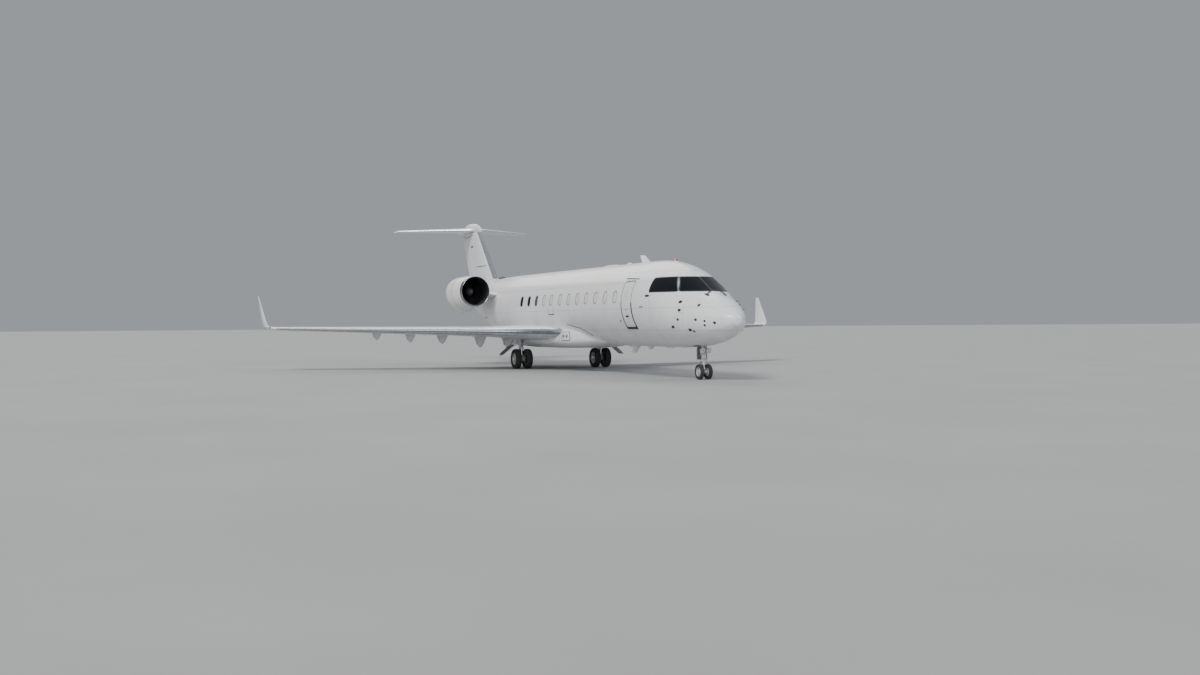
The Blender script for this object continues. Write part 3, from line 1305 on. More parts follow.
def rim_shapes(wheel, centre, out):
    """Wheel half towards the outside of a tyre: flange, pierced dish, hub, cap and tie bolts."""
    rim, axle, count = wheel["rim"], wheel["axle"], wheel["bolts"]
    flange = wheel["width"] / 2 * 0.62
    # Radius, and distance outwards from the flange
    dish = [(rim - 0.008, -0.012), (rim + 0.004, -0.006), (rim + 0.008, 0.006), (rim + 0.002, 0.012),
            (rim - 0.012, 0.008), (rim - 0.022, -0.012), (rim * 0.78, -0.034), (rim * 0.56, -0.026),
            (axle * 1.75, -0.006), (axle * 1.75, 0.012), (axle * 1.5, 0.02), (axle * 1.1, 0.02),
            (axle * 1.1, -0.05), (axle * 1.9, -0.05), (rim * 0.58, -0.05), (rim * 0.78, -0.056),
            (rim - 0.03, -0.04)]
    dish = [(rim - 0.008, -flange)] + [(r, flange + y) for r, y in dish] + [(rim - 0.024, -flange)]
    cap = [(0, -0.04), (axle * 1.1 - 0.0015, -0.04), (axle * 1.1 - 0.0015, 0.018), (axle * 0.8, 0.03),
           (axle * 0.35, 0.034), (0, 0.034)]

    def ring_of(number, start, radius, near, far, size, sides, bevel=0.0):
        shapes = []
        for turn in turns(number, start):
            place = Vector((math.cos(turn), 0, math.sin(turn))) * radius
            ends = [place + Vector((0, flange + y, 0)) for y in (near, far)]
            shapes.append(rod(*ends, size, sides=sides, bevel=bevel))
        return shapes

    holes = ring_of(count, 0.0, rim * 0.72, -0.1, 0.1, rim * 0.115, 20)
    mesh, _ = carve(lathe(dish, (0, 0, 0), (0, 1, 0), 72), GEAR_PAINT, [[GEAR_PAINT] + holes])
    shapes = [(([v.co.copy() for v in mesh.vertices], [list(f.vertices) for f in mesh.polygons]), 0),
              (lathe([(r, flange + y) for r, y in cap], (0, 0, 0), (0, 1, 0), 32, False), 1)]
    shapes += [(bolt, 1) for bolt in ring_of(count * 2, 0.5, rim * 0.48, -0.03, -0.012, rim * 0.034, 6, 0.001)]
    turn = Matrix.Rotation(0 if out > 0 else math.pi, 3, "Z")
    return [(moved(shape, turn, centre), slot) for shape, slot in shapes]


def add_wheels(name, wheel, station, y, which, body):
    outward = -1 if y < 0 else 1
    rims = Parts()
    for out, word in ((outward, "outer"), (-outward, "inner")):
        centre = at(station, y + out * wheel["spacing"] / 2, wheel["radius"])
        add(f"{name}_tyre_{word}_treaded{which}", tyre_shape(wheel, centre), RUBBER, body,
            f"{name}_tyre_{word}{which}", "tyre_rubber", 40)
        for shape, slot in rim_shapes(wheel, centre, out):
            rims.take(shape, slot)
    reach = wheel["spacing"] / 2 + wheel["width"] * 0.2
    ends = [at(station, y + out * reach, wheel["radius"]) for out in (-1, 1)]
    rims.take(rod(*ends, wheel["axle"] - 0.0005, sides=32), 1)
    rims.add(f"{name}_wheels_pierced{which}", [RIM_PAINT, CHROME], body, f"{name}_rims{which}", "gear_steel",
             30)


for word, side in SIDES.items():
    add_wheels("main", MAIN_WHEEL, MAIN_STATION, HALF_TRACK * side, f"_{word}", f"main_wheels_{word}")
add_wheels("nose", NOSE_WHEEL, NOSE_STATION, 0.0, "", "nose_wheels")


def arm(first, second, wide, narrow, thick, gap=0.0):
    """Tapered link with round ends between two pins that run across the aircraft."""
    first, second = Vector(first), Vector(second)
    along = (second - first).normalized()
    out = Vector((0, 1, 0)).cross(along)
    outline = []
    for pin, size, start in ((first, wide, math.pi / 2), (second, narrow, -math.pi / 2)):
        for turn in spread(start, start + math.pi, 13):
            outline.append(pin + along * (math.cos(turn) * size) + out * (math.sin(turn) * size))
    return loft([[p + Vector((0, gap + move, 0)) for p in outline] for move in (-thick / 2, thick / 2)])


def hose(points, radius, steps=4):
    return tube(smooth_path(points, steps), radius)


def add_main_leg(word, side):
    """Main gear leg, as (share of the way down, aft, outwards) from the trunnion to the axle."""
    x, z = NOSE_X - MAIN_STATION, MAIN_WHEEL["radius"]
    top, foot = Vector((x, 1.645, 1.33)), Vector((x, HALF_TRACK, z))

    def on(t, aft=0.0, out=0.0):
        return top.lerp(foot, t) + Vector((-aft, out, 0))

    def collar(start, end, share, length):
        middle, half = start.lerp(end, share), (end - start).normalized() * length / 2
        return middle - half, middle + half

    leg = Parts(side)
    leg.take(rod(on(0.12), on(0.60), 0.092, 0.088, 40, 0.004))
    leg.rods((*collar(top, foot, share, length), radius, 32, 0.004, 0) for share, radius, length in (
        (0.17, 0.104, 0.03), (0.31, 0.103, 0.075), (0.47, 0.099, 0.02), (0.585, 0.1, 0.05)))
    leg.take(rod(on(0.58), on(0.90), 0.06, sides=40), 1)
    leg.take(rod(on(0.86), on(0.97), 0.07, 0.085, 32, 0.01))
    leg.take(rod((x, HALF_TRACK - 0.095, z), (x, HALF_TRACK + 0.095, z), 0.088, sides=40, bevel=0.006))
    leg.take(rod((x, HALF_TRACK, 0.29), (x, HALF_TRACK, 0.262), 0.03, 0.022, 20, 0.003))
    # Torque links and their pins
    knee = (0.76, 0.235)
    for out in (-0.034, 0.034):
        leg.take(arm(on(0.55, 0.085), on(*knee), 0.034, 0.024, 0.018, out))
        leg.take(arm(on(0.97, 0.075), on(*knee), 0.034, 0.024, 0.018, out * 0.5))
    leg.rods((on(share, aft, -half), on(share, aft, half), 0.014, 20, 0.002, 1) for share, aft, half in (
        (0.55, 0.085, 0.055), (*knee, 0.06), (0.97, 0.075, 0.05)))
    leg.take(block(on(0.55, 0.1, -0.03) - up(0.03), on(0.55, 0.03, 0.03) + up(0.03), 0.006))
    # Side stay with its collar, and the jack
    stay = Vector((x, 0.76, 1.18))
    leg.take(rod(on(0.3, 0, -0.05), stay, 0.034, 0.03, 24, 0.003))
    leg.rods([(*collar(on(0.3), stay, 0.5, 0.09), 0.046, 24, 0.004, 0),
              (on(0.34, 0.1, -0.1), (x - 0.12, 1.0, 1.2), 0.022, 16, 0, 1),
              (on(0.3, 0.1, -0.06), (x - 0.1, 1.25, 1.13), 0.034, 20, 0.003, 0)])
    for ahead, out in ((0.075, 0.03), (0.08, -0.03)):
        leg.take(hose([
            on(0.14, -ahead, out), on(0.3, -ahead - 0.035, out), on(0.5, -ahead - 0.02, out),
            on(0.66, -ahead - 0.05, out * 2.2), on(0.82, -ahead - 0.06, out * 2.6), on(0.95, -0.05, out * 3.1)],
                      0.0075), 2)
    for share in (0.24, 0.42, 0.56):
        leg.take(block(on(share, -0.08, -0.04) - up(0.01), on(share, -0.12, 0.04) + up(0.01), 0.003), 1)
    # Brakes, each with its ring of pistons
    for out in (-1, 1):
        inner = HALF_TRACK + out * 0.104
        disc = [(0.055, 0), (0.15, 0), (0.152, 0.01), (0.152, 0.07), (0.145, 0.09), (0.055, 0.09)]
        leg.take(lathe(disc, (x, inner, z), (0, out, 0), 48), 3)
        for turn in turns(6):
            place = Vector((x + 0.118 * math.cos(turn + 0.4), inner, z + 0.118 * math.sin(turn + 0.4)))
            ends = [place + Vector((0, out * reach, 0)) for reach in (-0.016, 0.014)]
            leg.take(rod(*ends, 0.021, sides=20, bevel=0.003))
    leg.add(f"main_gear_strut_{word}", [GEAR_PAINT, CHROME, HOSE, DARK_METAL], replaces=f"main_gear_leg_{word}",
            slot="gear_steel", sharp=32)
    add_main_door(word, side, on)


def add_main_door(word, side, on):
    """Door that hangs from the leg, on a slope from its upper to its lower edge."""
    door = Parts(side)
    edge, slope = Vector((0, 1.95, 0.89)), Vector((0, 0.49, -0.39)).normalized()
    normal = Vector((0, -slope.z, slope.y))

    def place(s, down, away):
        return edge + slope * down + normal * away + Vector((NOSE_X - s, 0, 0))

    outline = panel(13.19, 13.66, 0.0, 0.626, 0.07, 6)
    for low, high, inset, slot in ((0.0, 0.012, 0.0, 0), (0.012, 0.028, 0.035, 1)):
        door.take(loft([[place(*p, away) for p in widened(outline, -inset)] for away in (low, high)]), slot)
    rib = ((0.06, 0.028), (0.57, 0.028), (0.51, 0.05), (0.12, 0.05))
    for s in (13.28, 13.425, 13.57):
        door.take(loft([[place(s + shift, *p) for p in rib] for shift in (-0.006, 0.006)]), 1)
    x = NOSE_X - MAIN_STATION
    door.take(rod(on(0.3, 0, 0.1) - up(0.012), (x, 2.08, 0.825), 0.022, sides=20, bevel=0.002), 2)
    for shift in (-0.12, 0.16):
        eye = Vector((x + shift, 2.2, 0.735))
        across = Vector((0.025, 0, 0))
        door.rods([(on(0.42, 0, 0.1), eye, 0.012, 14, 0, 2), (eye - across, eye + across, 0.02, 16, 0.002, 2)])
    door.add(f"main_gear_door_plate_{word}", [FAIRING_PAINT, BAY_PRIMER, GEAR_PAINT],
             replaces=f"main_gear_door_{word}", slot="white_paint", sharp=32)


for word, side in SIDES.items():
    add_main_leg(word, side)


# Places on the nose gear are (ahead of the leg, across, height)
def on_leg(ahead, y, z):
    return at(NOSE_STATION - ahead, y, z)


def add_nose_leg():
    leg = Parts()
    cylinder = [(0.608, 1.41, 0.071, 0.004), (0.615, 0.665, 0.08, 0.005), (0.76, 0.79, 0.079, 0.005),
                (1.015, 1.105, 0.086, 0.005), (1.1075, 1.1325, 0.077, 0.005), (1.28, 1.38, 0.09, 0.005)]
    leg.rods((on_leg(0, 0, low), on_leg(0, 0, high), radius, 40, bevel, 0)
             for low, high, radius, bevel in cylinder)
    leg.take(rod(on_leg(0, -0.264, 1.33), on_leg(0, 0.264, 1.33), 0.034, sides=24, bevel=0.004))
    for side in (1, -1):
        # Drag stay, its foot, and the steering actuator
        leg.rods([(on_leg(0.05, side * 0.05, 1.07), at(1.35, side * 0.11, 1.38), 0.022, 20, 0, 0),
                  (on_leg(0.03, side * 0.02, 1.07), on_leg(0.07, side * 0.07, 1.07), 0.036, 20, 0.004, 0),
                  (on_leg(-0.02, side * 0.085, 0.80), on_leg(-0.02, side * 0.085, 0.90), 0.03, 20, 0.004, 0),
                  (on_leg(-0.02, side * 0.085, 0.76), on_leg(-0.02, side * 0.085, 0.80), 0.013, 14, 0, 1)])
        leg.take(block(on_leg(-0.05, side * 0.06 - 0.012, 0.83), on_leg(0.01, side * 0.06 + 0.012, 0.87),
                       0.004))
    leg.rods([(at(1.35, -0.12, 1.38), at(1.35, 0.12, 1.38), 0.026, 20, 0.003, 0),
              (at(1.6, -0.1, 1.283), at(1.6, 0.1, 1.283), 0.018, 16, 0, 0)])
    for out in (-0.03, 0.03):
        leg.take(hose([on_leg(0.075, out, 1.3), on_leg(0.085, out, 1.1), on_leg(0.1, out * 1.3, 0.92),
                       on_leg(0.082, out, 0.76)], 0.006), 2)
        leg.take(rod(on_leg(0.05, out, 0.764), on_leg(0.09, out, 0.764), 0.013, sides=16, bevel=0.002))
    add_taxi_lamps(leg)
    # Plate behind the leg, with its clamps
    outline = rounded([(0.19, 0.575), (0.17, 0.985), (-0.17, 0.985), (-0.19, 0.575)], 0.03, 5)
    for start, end, inset, finish in ((2.197, 2.21, 0.0, 4), (2.186, 2.198, 0.022, 5)):
        leg.take(loft([[at(s, *p) for p in widened(outline, -inset)] for s in (start, end)]), finish)
    for z in (0.62, 0.78, 0.94):
        leg.take(block(at(2.19, -0.15, z - 0.01), at(2.168, 0.15, z + 0.01), 0.004), 5)
    for z in (0.72, 0.9):
        leg.take(rod(on_leg(0, 0, z - 0.011), on_leg(0, 0, z + 0.011), 0.079, sides=40, bevel=0.003))
        for y in (0.06, -0.06):
            leg.take(rod(on_leg(-0.04, y / 1.5, z), on_leg(-0.112, y, z), 0.013))
            leg.take(rod(on_leg(-0.09, y - 0.018, z), on_leg(-0.09, y + 0.018, z), 0.018, bevel=0.002))
    leg.add("nose_gear_cylinder", [GEAR_PAINT, CHROME, HOSE, LAMP_GLASS, FAIRING_PAINT, BAY_PRIMER],
            replaces="nose_gear_leg", slot="gear_steel", sharp=32)


def add_taxi_lamps(leg):
    z = 0.855
    shell = [(0, -0.055), (0.044, -0.048), (0.072, -0.026), (0.082, 0.0), (0.082, 0.014), (0.074, 0.019),
             (0.072, 0.006), (0.0, 0.002)]
    lens = [(0, 0.004), (0.071, 0.008), (0.071, 0.012), (0.045, 0.018), (0, 0.021)]
    for y in (-0.095, 0.095):
        profiles = [(shell, 0, False), (lens, 3, False)]
        for radius, width, finish in ((0.066, 0.003, 1), (0.04, 0.002, 1), (0.016, 0.016, 2)):
            ring = [(radius - width, 0.008), (radius, 0.008), (radius, 0.024), (radius - width, 0.024)]
            profiles.append((ring, finish, width < radius))
        for profile, finish, closed in profiles:
            leg.take(lathe(profile, on_leg(0.125, y, z), (1, 0, -0.06), 32, closed), finish)
    leg.take(block(on_leg(0.06, -0.09, z - 0.012), on_leg(0.085, 0.09, z + 0.012), 0.004))
    leg.take(block(on_leg(0.06, -0.02, z - 0.03), on_leg(0.1, 0.02, z + 0.03), 0.004))


def add_nose_fork():
    axle = NOSE_WHEEL["radius"]
    fork = Parts().take(rod(on_leg(0, 0, 0.26), on_leg(0, 0, 0.60), 0.0475, sides=40), 1)
    collar = [(0.0465, 0), (0.088, 0.0), (0.094, 0.006), (0.094, 0.062), (0.088, 0.068), (0.0465, 0.068)]
    fork.take(lathe(collar, on_leg(0, 0, 0.53), (0, 0, 1), 40))
    fork.take(rod(on_leg(0, 0, 0.3), on_leg(0, 0, 0.36), 0.056, 0.05, 32, 0.006))
    fork.take(rod(on_leg(0, -0.08, axle), on_leg(0, 0.08, axle), 0.051, sides=32, bevel=0.005))
    for out in (-0.024, 0.024):
        fork.take(arm(on_leg(-0.11, 0, 0.56), on_leg(-0.22, 0, 0.45), 0.024, 0.02, 0.014, out))
        fork.take(arm(on_leg(-0.07, 0, 0.32), on_leg(-0.22, 0, 0.45), 0.026, 0.02, 0.014, out * 0.45))
    fork.rods((on_leg(-aft, -half, z), on_leg(-aft, half, z), 0.01, 16, 0.0015, 1) for aft, z, half in (
        (0.11, 0.56, 0.036), (0.22, 0.45, 0.038), (0.07, 0.32, 0.032)))
    fork.take(block(on_leg(-0.12, -0.03, 0.54), on_leg(-0.08, 0.03, 0.58), 0.005))
    fork.take(block(on_leg(-0.08, -0.02, 0.3), on_leg(-0.03, 0.02, 0.34), 0.005))
    for side in (1, -1):
        fork.take(block(on_leg(-0.02, side * 0.1 - 0.012, 0.55), on_leg(0.02, side * 0.1 + 0.012, 0.58), 0.004))
        fork.take(rod(on_leg(0, side * 0.085, 0.565), on_leg(0, side * 0.115, 0.565), 0.014))
    fork.take(rod(on_leg(0.05, 0, axle), on_leg(0.085, 0, axle), 0.012), 1)
    fork.add("nose_gear_piston", [GEAR_PAINT, CHROME], "nose_steering", "nose_gear_fork", "gear_steel", 32)


def add_nose_doors():
    for word, side in SIDES.items():
        door = Parts(side)
        outline = panel(1.185, 1.929, 0.003, 0.266, 0.02, 3)
        door.take(patch(outline, UNDER, 0, -0.014))
        door.take(patch(widened(outline, -0.03), UNDER, -0.013, -0.02), 1)
        for s in (1.33, 1.56, 1.79):
            door.take(patch(panel(s - 0.015, s + 0.015, 0.04, 0.235, 0.008, 2), UNDER, -0.019, -0.034, 2, 0.05),
                      1)
        for s in (1.4, 1.72):
            foot = UNDER(s, 0.225)
            knee = at(s, 0.252, foot.z + 0.14)
            across = Vector((0.03, 0, 0))
            door.rods([(foot + up(0.03), knee, 0.011, 16, 0, 2),
                       (knee - across, knee + across, 0.014, 16, 0.002, 2)])
        door.add(f"nose_gear_door_skin_{word}", [FUSELAGE_PAINT, BAY_PRIMER, GEAR_PAINT],
                 replaces=f"nose_gear_door_{word}", slot="white_paint", sharp=32)


add_nose_leg()
add_nose_fork()
add_nose_doors()


def add_passenger_door():
    handle = handle_cut(panel(4.32, 4.56, 2.02, 2.09, 0.02), LEFT, 0.012)
    add_door("passenger_door_skin", "passenger_door", PASSENGER_DOOR, LEFT, [SEAL, handle], thick=0.045,
             body="passenger_door")
    door = Parts()
    door.take(band(PASSENGER_DOOR, LEFT, -0.012, -0.002, 0.0012, -0.006), 1)
    door.take(patch(panel(4.33, 4.55, 2.035, 2.075, 0.012, 3), LEFT, -0.001, -0.01, 2, 0.03), 2)
    door.take(patch(widened(PASSENGER_DOOR, -0.04), LEFT, -0.046, -0.068))
    # Steps: the treads lie level when the door hangs open
    lean = math.radians(35)
    inward = Vector((0, -math.cos(lean), math.sin(lean)))
    upright = Vector((0, -math.sin(lean), -math.cos(lean)))
    for z in spread(1.80, 2.88, 5):
        root = Vector((0, LEFT(4.6, z).y - 0.062, z))
        for start, end, low, high, inset, bevel, slot in (
                (0.0, 0.228, 0.001, 0.029, 0.001, 0.003, 0), (0.02, 0.205, -0.003, 0.003, 0.02, 0.001, 3),
                (0.206, 0.229, -0.002, 0.03, 0.004, 0.003, 4)):
            points, faces = block(at(4.93 - inset, start, low), at(4.28 + inset, end, high), bevel)
            door.take(([root + Vector((p.x, 0, 0)) + inward * p.y - upright * p.z for p in points], faces),
                      slot)
    for s in (4.281, 4.903):
        rings = []
        for z in spread(1.745, 3.075, 17):
            y = LEFT(4.6, z).y
            rings.append([at(s + aft, y - away, z) for aft, away in (
                (0.026, 0.229), (0, 0.229), (0, 0.06), (0.026, 0.06))])
        door.take(loft(rings))
    for s in (4.255, 4.945):
        rail = [at(s, LEFT(4.6, z).y - 0.16 - 0.06 * math.sin(math.pi * k / 8), z)
                for k, z in enumerate(spread(1.84, 2.90, 9))]
        door.take(tube(smooth_path(rail, 3), 0.011, 12), 2)
    for z in (2.0, 2.5, 3.0):
        for s in (4.175, 5.015):
            y = LEFT(s, z).y
            door.take(rod(at(s, y - 0.07, z), at(s, y - 0.045, z), 0.016, bevel=0.002), 2)
    door.add("passenger_door_stairs", [CABIN_TRIM, SEAL, CHROME, STEP_TREAD, TRIM], "passenger_door")


add_passenger_door()


# Fittings on the skin
def disc(s, z, radius, place, outer=0.003, inner=-0.004, stretch=1.0):
    outline = [(s + radius * stretch * math.cos(turn), z + radius * math.sin(turn)) for turn in turns(14)]
    return patch(outline, place, outer, inner, 2, 0.2)


def quad(first, last, low, high, place, outer=0.003, inner=-0.006):
    return patch(panel(first, last, low, high, 0.01, 3), place, outer, inner, 2, 0.06)


def blade(s, z, rise, root, tip, sweep, thick=0.022):
    """Blade aerial that leans aft."""
    rings = []
    for t in spread(0, 1, 5):
        chord = root + (tip - root) * t
        wide = thick / 0.1 * (1.1 - 0.5 * t)
        rings.append([at(s + sweep * t + x * chord, half * wide, z + rise * t) for x, half in foil_outline(20)])
    return thin_loft(rings)


def probe(s, z, place, reach, length, radius=0.012):
    """Tube that stands off the skin and points ahead."""
    root = place(s, z)
    elbow = off_skin(root, reach) + Vector((0.03, 0, 0))
    ahead = Vector((length, 0, 0))
    path = smooth_path([off_skin(root, -0.01), off_skin(root, reach * 0.7), elbow, elbow + ahead * 0.4], 4)
    return [tube(path, radius, 10), rod(path[-1], path[-1] + ahead * 0.6, radius * 0.8, radius * 0.5, 12)]


def stud(p, deep, tall, *size, **more):
    """Rod that stands on the skin."""
    return rod(off_skin(p, -deep), off_skin(p, tall), *size, **more)


# Probes, vanes and ports of the nose: station, height and kind
NOSE_MARKS = [
    (1.79, 2.28, "probe"), (1.71, 2.04, "pitot"), (1.74, 1.77, "vane"), (2.05, 1.56, "pitot"),
    (1.11, 2.17, "vane"), (1.06, 1.76, "vane"), (0.48, 1.67, "vane"), (0.77, 1.72, "port"),
    (0.79, 1.60, "port"), (1.37, 1.47, "probe"), (1.25, 1.43, "port"), (3.31, 2.485, "oval"),
    (3.62, 2.16, "slot")]


def add_mark(marks, s, z, kind, place):
    """One probe, vane or port: a dark plate (slot 0) under metal (slot 1)."""
    if kind == "slot":
        marks.take(disc(s, z, 0.016, place, stretch=8.0)).take(disc(s - 0.06, z - 0.05, 0.016, place))
    elif kind == "port":
        marks.take(disc(s, z, 0.035, place, 0.002))
        for turn in turns(3):
            marks.take(disc(s + 0.016 * math.cos(turn), z + 0.016 * math.sin(turn), 0.005, place, 0.004), 1)
    elif kind == "oval":
        marks.take(disc(s, z, 0.036, place, 0.004, stretch=3.4))
        marks.take(disc(s, z, 0.02, place, 0.006, stretch=3.4), 1)
    elif kind == "vane":
        root = place(s, z)
        marks.take(disc(s, z, 0.04, place)).take(stud(root, 0, 0.035, 0.014, 0.01, 16, 0.002), 1)
        corners = ((0, 0.004), (0.075, 0.022), (0.08, 0.0), (0.0, -0.004))
        marks.take(loft([[off_skin(root, away) + Vector((0.01 - back, 0, lift)) for back, lift in corners]
                         for away in (0.02, 0.034)]))
    else:
        marks.take(disc(s, z, 0.042, place, stretch=1.5))
        for shape in probe(s, z, place, *((0.075, 0.17) if kind == "pitot" else (0.05, 0.09))):
            marks.take(shape, 1)


def add_wiper(word, ahead, start, end):
    """Wiper from its blade's far end to its pivot, as (span, height)."""
    wiper = Parts()
    path = []
    for t in spread(0, 1, 7):
        path.append(off_skin(ahead(*Vector(start).lerp(Vector(end), t)), 0.012 + 0.02 * math.sin(math.pi * t)))
    foot = ahead(*end)
    wiper.take(tube(path, 0.016)).take(tube([off_skin(p, -0.006) + up(0.012) for p in path[:5]], 0.011))
    wiper.take(stud(foot, 0.005, 0.03, 0.034, 0.024, 20, 0.003)).take(disc(*end, 0.045, ahead))
    wiper.add(f"wiper_{word}", SEAL, sharp=30)


def add_nose_fittings():
    for word, side in SIDES.items():
        place, ahead = from_side(side), from_ahead(side)
        frames = Parts()
        frames.take(band(rounded(SIDE_WINDOW, 0.05), place, -0.004, 0.026, 0.0015, -0.008, 0.05))
        frames.take(band(rounded(WINDSHIELD, 0.04), ahead, -0.004, 0.022, 0.0015, -0.008, 0.05))
        frames.take(patch(panel(0.0, 0.036, 2.588, 3.037), ahead, 0.002, -0.008, 2, 0.05))
        post = rounded([(2.102, 2.606), (2.128, 2.606), (2.578, 3.016), (2.552, 3.016)], 0.004, 2)
        frames.take(patch(post, place, 0.0035, -0.004, 2, 0.05), 1)
        frames.add(f"glazing_frame_{word}", [SEAL, POST_PAINT], sharp=30)
        marks = Parts()
        for s, z, kind in NOSE_MARKS:
            if side < 0 or s > 0.6:
                add_mark(marks, s, z, kind, place)
        marks.add(f"air_data_probes_{word}", [SEAL, DARK_METAL], sharp=30)
        add_wiper(word, ahead,
                  *(((0.03, 2.602), (0.285, 2.478)) if side < 0 else ((0.235, 2.595), (0.3, 2.47))))


def add_radome_strips():
    strips = Parts()
    for degrees in (8, 42, 78, 102, 138, 172, 218, 322):
        path = [skin_point(round(s, 4), math.radians(degrees), 0.0015) for s in spread(0.12, 0.78, 9)]
        strips.take(tube(path, 0.003, 6))
    for turn in turns(10, 0.5):
        strips.take(stud(skin_point(0.83, turn), 0.004, 0.0015, 0.009, sides=12))
    strips.add("radome_strips", TRIM)


add_nose_fittings()
add_radome_strips()

# Blade aerials: station, height, rise, root, tip, sweep, thickness. Low ones: station, top, bottom, half width.
BLADES = [(5.88, 3.6, 0.26, 0.16, 0.085, 0.34, 0.03), (7.2, 3.6, 0.065, 0.1, 0.06, 0.04),
          (6.66, 0.95, -0.25, 0.27, 0.12, 0.24, 0.028), (5.58, 0.95, -0.12, 0.18, 0.09, 0.1),
          (7.08, 0.95, -0.06, 0.12, 0.07, 0.05), (16.2, 0.95, -0.16, 0.22, 0.1, 0.2)]
ROOF_AERIAL = [(8.15, 3.622, 3.6, 0.02), (8.3, 3.65, 3.6, 0.1), (8.8, 3.655, 3.6, 0.12),
               (9.15, 3.645, 3.6, 0.1), (9.4, 3.622, 3.6, 0.02)]
BELLY_AERIAL = [(4.02, 0.96, 0.91, 0.02), (4.1, 0.97, 0.9, 0.06), (4.4, 0.97, 0.9, 0.07),
                (4.6, 0.96, 0.915, 0.02)]


def add_aerials():
    aerials = Parts()
    for row in BLADES:
        aerials.take(blade(*row))
    aerials.take(pod(ROOF_AERIAL, 0.0, 24)).take(pod(BELLY_AERIAL, 0.0, 20))
    aerials.add("aerials", TAIL_PAINT, sharp=30)
    base = from_plan(True)(3.88, 0.0)
    plinth = [(0, -0.05), (0.105, -0.05), (0.1, 0.0), (0.09, 0.012), (0, 0.012)]
    dome = [(0, -0.01), (0.08, -0.01), (0.082, 0.02), (0.072, 0.045), (0.045, 0.062), (0, 0.068)]
    beacon = Parts().take(lathe(plinth, base + up(0.008), (0, 0, 1), 32, False), 1)
    beacon.take(lathe(dome, base + up(0.018), (0, 0, 1), 32, False))
    beacon.add("beacons", [RED_LENS, TAIL_PAINT], sharp=30)
    lens = [(0, -0.03), (0.022, -0.02), (0.026, 0.02), (0.018, 0.045), (0, 0.055)]
    Parts().take(lathe(lens, at(26.62, 0, 5.92), (-1, 0, 0), 20, False)).add("tail_light", LAMP_GLASS)


add_aerials()


def fairing_place(side):
    """Places (station, height) on the side of the belly fairing."""
    def place(s, z):
        high, low, half = curve(FAIRING, s, 1, 2, 3)
        lift = min(abs(z - (high + low) / 2) / ((high - low) / 2), 0.999) ** (1 / FAIRING_POWER)
        return at(s, side * half * math.sqrt(1 - lift ** 2) ** FAIRING_POWER, z)
    return place


def add_side_lines(word, side):
    """Crease of the fairing, exit edges, window seals and vents."""
    place = from_side(side)
    lines = Parts()
    bends = [(9.95, 1.635, 0), (9.4, 1.575, 0), (8.83, 1.49, 0), (8.5, 1.36, 0), (8.32, 1.25, 0)]
    crease = smooth_path(bends, 6)
    lines.take(tube([off_skin(place(p.x, p.y), 0.002) for p in crease], 0.011))
    lines.take(quad(10.845, 11.385, 1.978, 2.006, place))
    for s in (10.848, 11.362):
        lines.take(quad(s, s + 0.02, 2.0, 2.26, place))
    for s in CABIN_WINDOWS:
        lines.take(band(window_outline(s), place, -0.016, 0.003, 0.001, -0.007, 0.05))
    for s in (18.9, 19.3):
        lines.take(patch([(s, 1.93), (s + 0.2, 1.88), (s + 0.2, 1.98)], place, 0.003, -0.006, 2, 0.06))
    lines.add(f"side_lines_{word}", SEAL, sharp=30)


def add_root_light(word, side):
    """Two lamps behind a lens in the wing root."""
    place = fairing_place(side)
    lamp = Parts()
    outline = rounded([(9.62, 1.11), (10.12, 1.09), (10.12, 1.37), (9.68, 1.37)], 0.06, 5)
    lamp.take(patch(widened(outline, 0.022), place, 0.006, -0.03, 3), 1)
    lamp.take(patch(outline, place, 0.011, -0.02, 3))
    for s in (9.8, 9.99):
        lamp.take(disc(s, 1.24, 0.065, place, 0.014, 0.0), 2).take(disc(s, 1.24, 0.02, place, 0.017, 0.01), 1)
    lamp.add(f"wing_root_light_{word}", [LAMP_GLASS, SEAL, CHROME], sharp=30)


def add_service_edges():
    """Sill, side edges, handle and small marks of the service door."""
    door = Parts().take(quad(4.26, 5.02, 1.485, 1.552, RIGHT, 0.007, -0.01))
    for first, last, head in ((4.235, 4.302, 2.3), (4.978, 5.022, 2.34)):
        door.take(quad(first, last, 1.5, head, RIGHT, 0.006, -0.01))
    door.take(quad(4.55, 4.76, 1.852, 1.908, RIGHT, 0.0035, -0.01))
    for s, z, radius in ((4.68, 2.09, 0.022), (5.27, 1.74, 0.035), (4.52, 2.09, 0.018)):
        door.take(disc(s, z, radius, RIGHT))
    door.add("service_door_edges", SEAL, sharp=30)


for word, side in SIDES.items():
    add_side_lines(word, side)
    add_root_light(word, side)
add_service_edges()


def add_fin_fittings():
    lines = Parts()
    for side in (1, -1):
        for drop in (0.0, 0.055):
            path = []
            for t in spread(0, 1, 17):
                z = 5.735 - drop - 0.09 * math.sin(math.pi * t)
                x = fin_foil.fraction(z, 23.95 + 1.75 * t)
                path.append(fin_foil.point(z, x, side * (fin_foil.half(z, x) + 0.002)))
            lines.take(tube(path, 0.008, 6))
        lines.take(fin_foil.skin(5.12, 5.19, 0.42, 0.55, side, 0.003))
        lines.take(fin_foil.skin(4.2, 4.23, 0.12, 0.5, side, 0.002, steps=6))
    # Dark front of the scoop, 3 mm outside it
    front = [(s - 0.005 * (i == 0), top + 0.003, 3.54, half + 0.003 - 0.005 * (i == 0))
             for i, (s, top, bottom, half) in enumerate(SCOOP[:4])]
    lines.take(pod(front, 0.0, 24)).add("fin_lines", SEAL, sharp=30)
    for z in (3.95, 4.45, 4.95, 5.35):
        Parts().take(fin_foil.wick(z, 0.992, 0.12, 0.01)).add(f"rudder_wick_{round(z * 100)}", SEAL, "rudder")


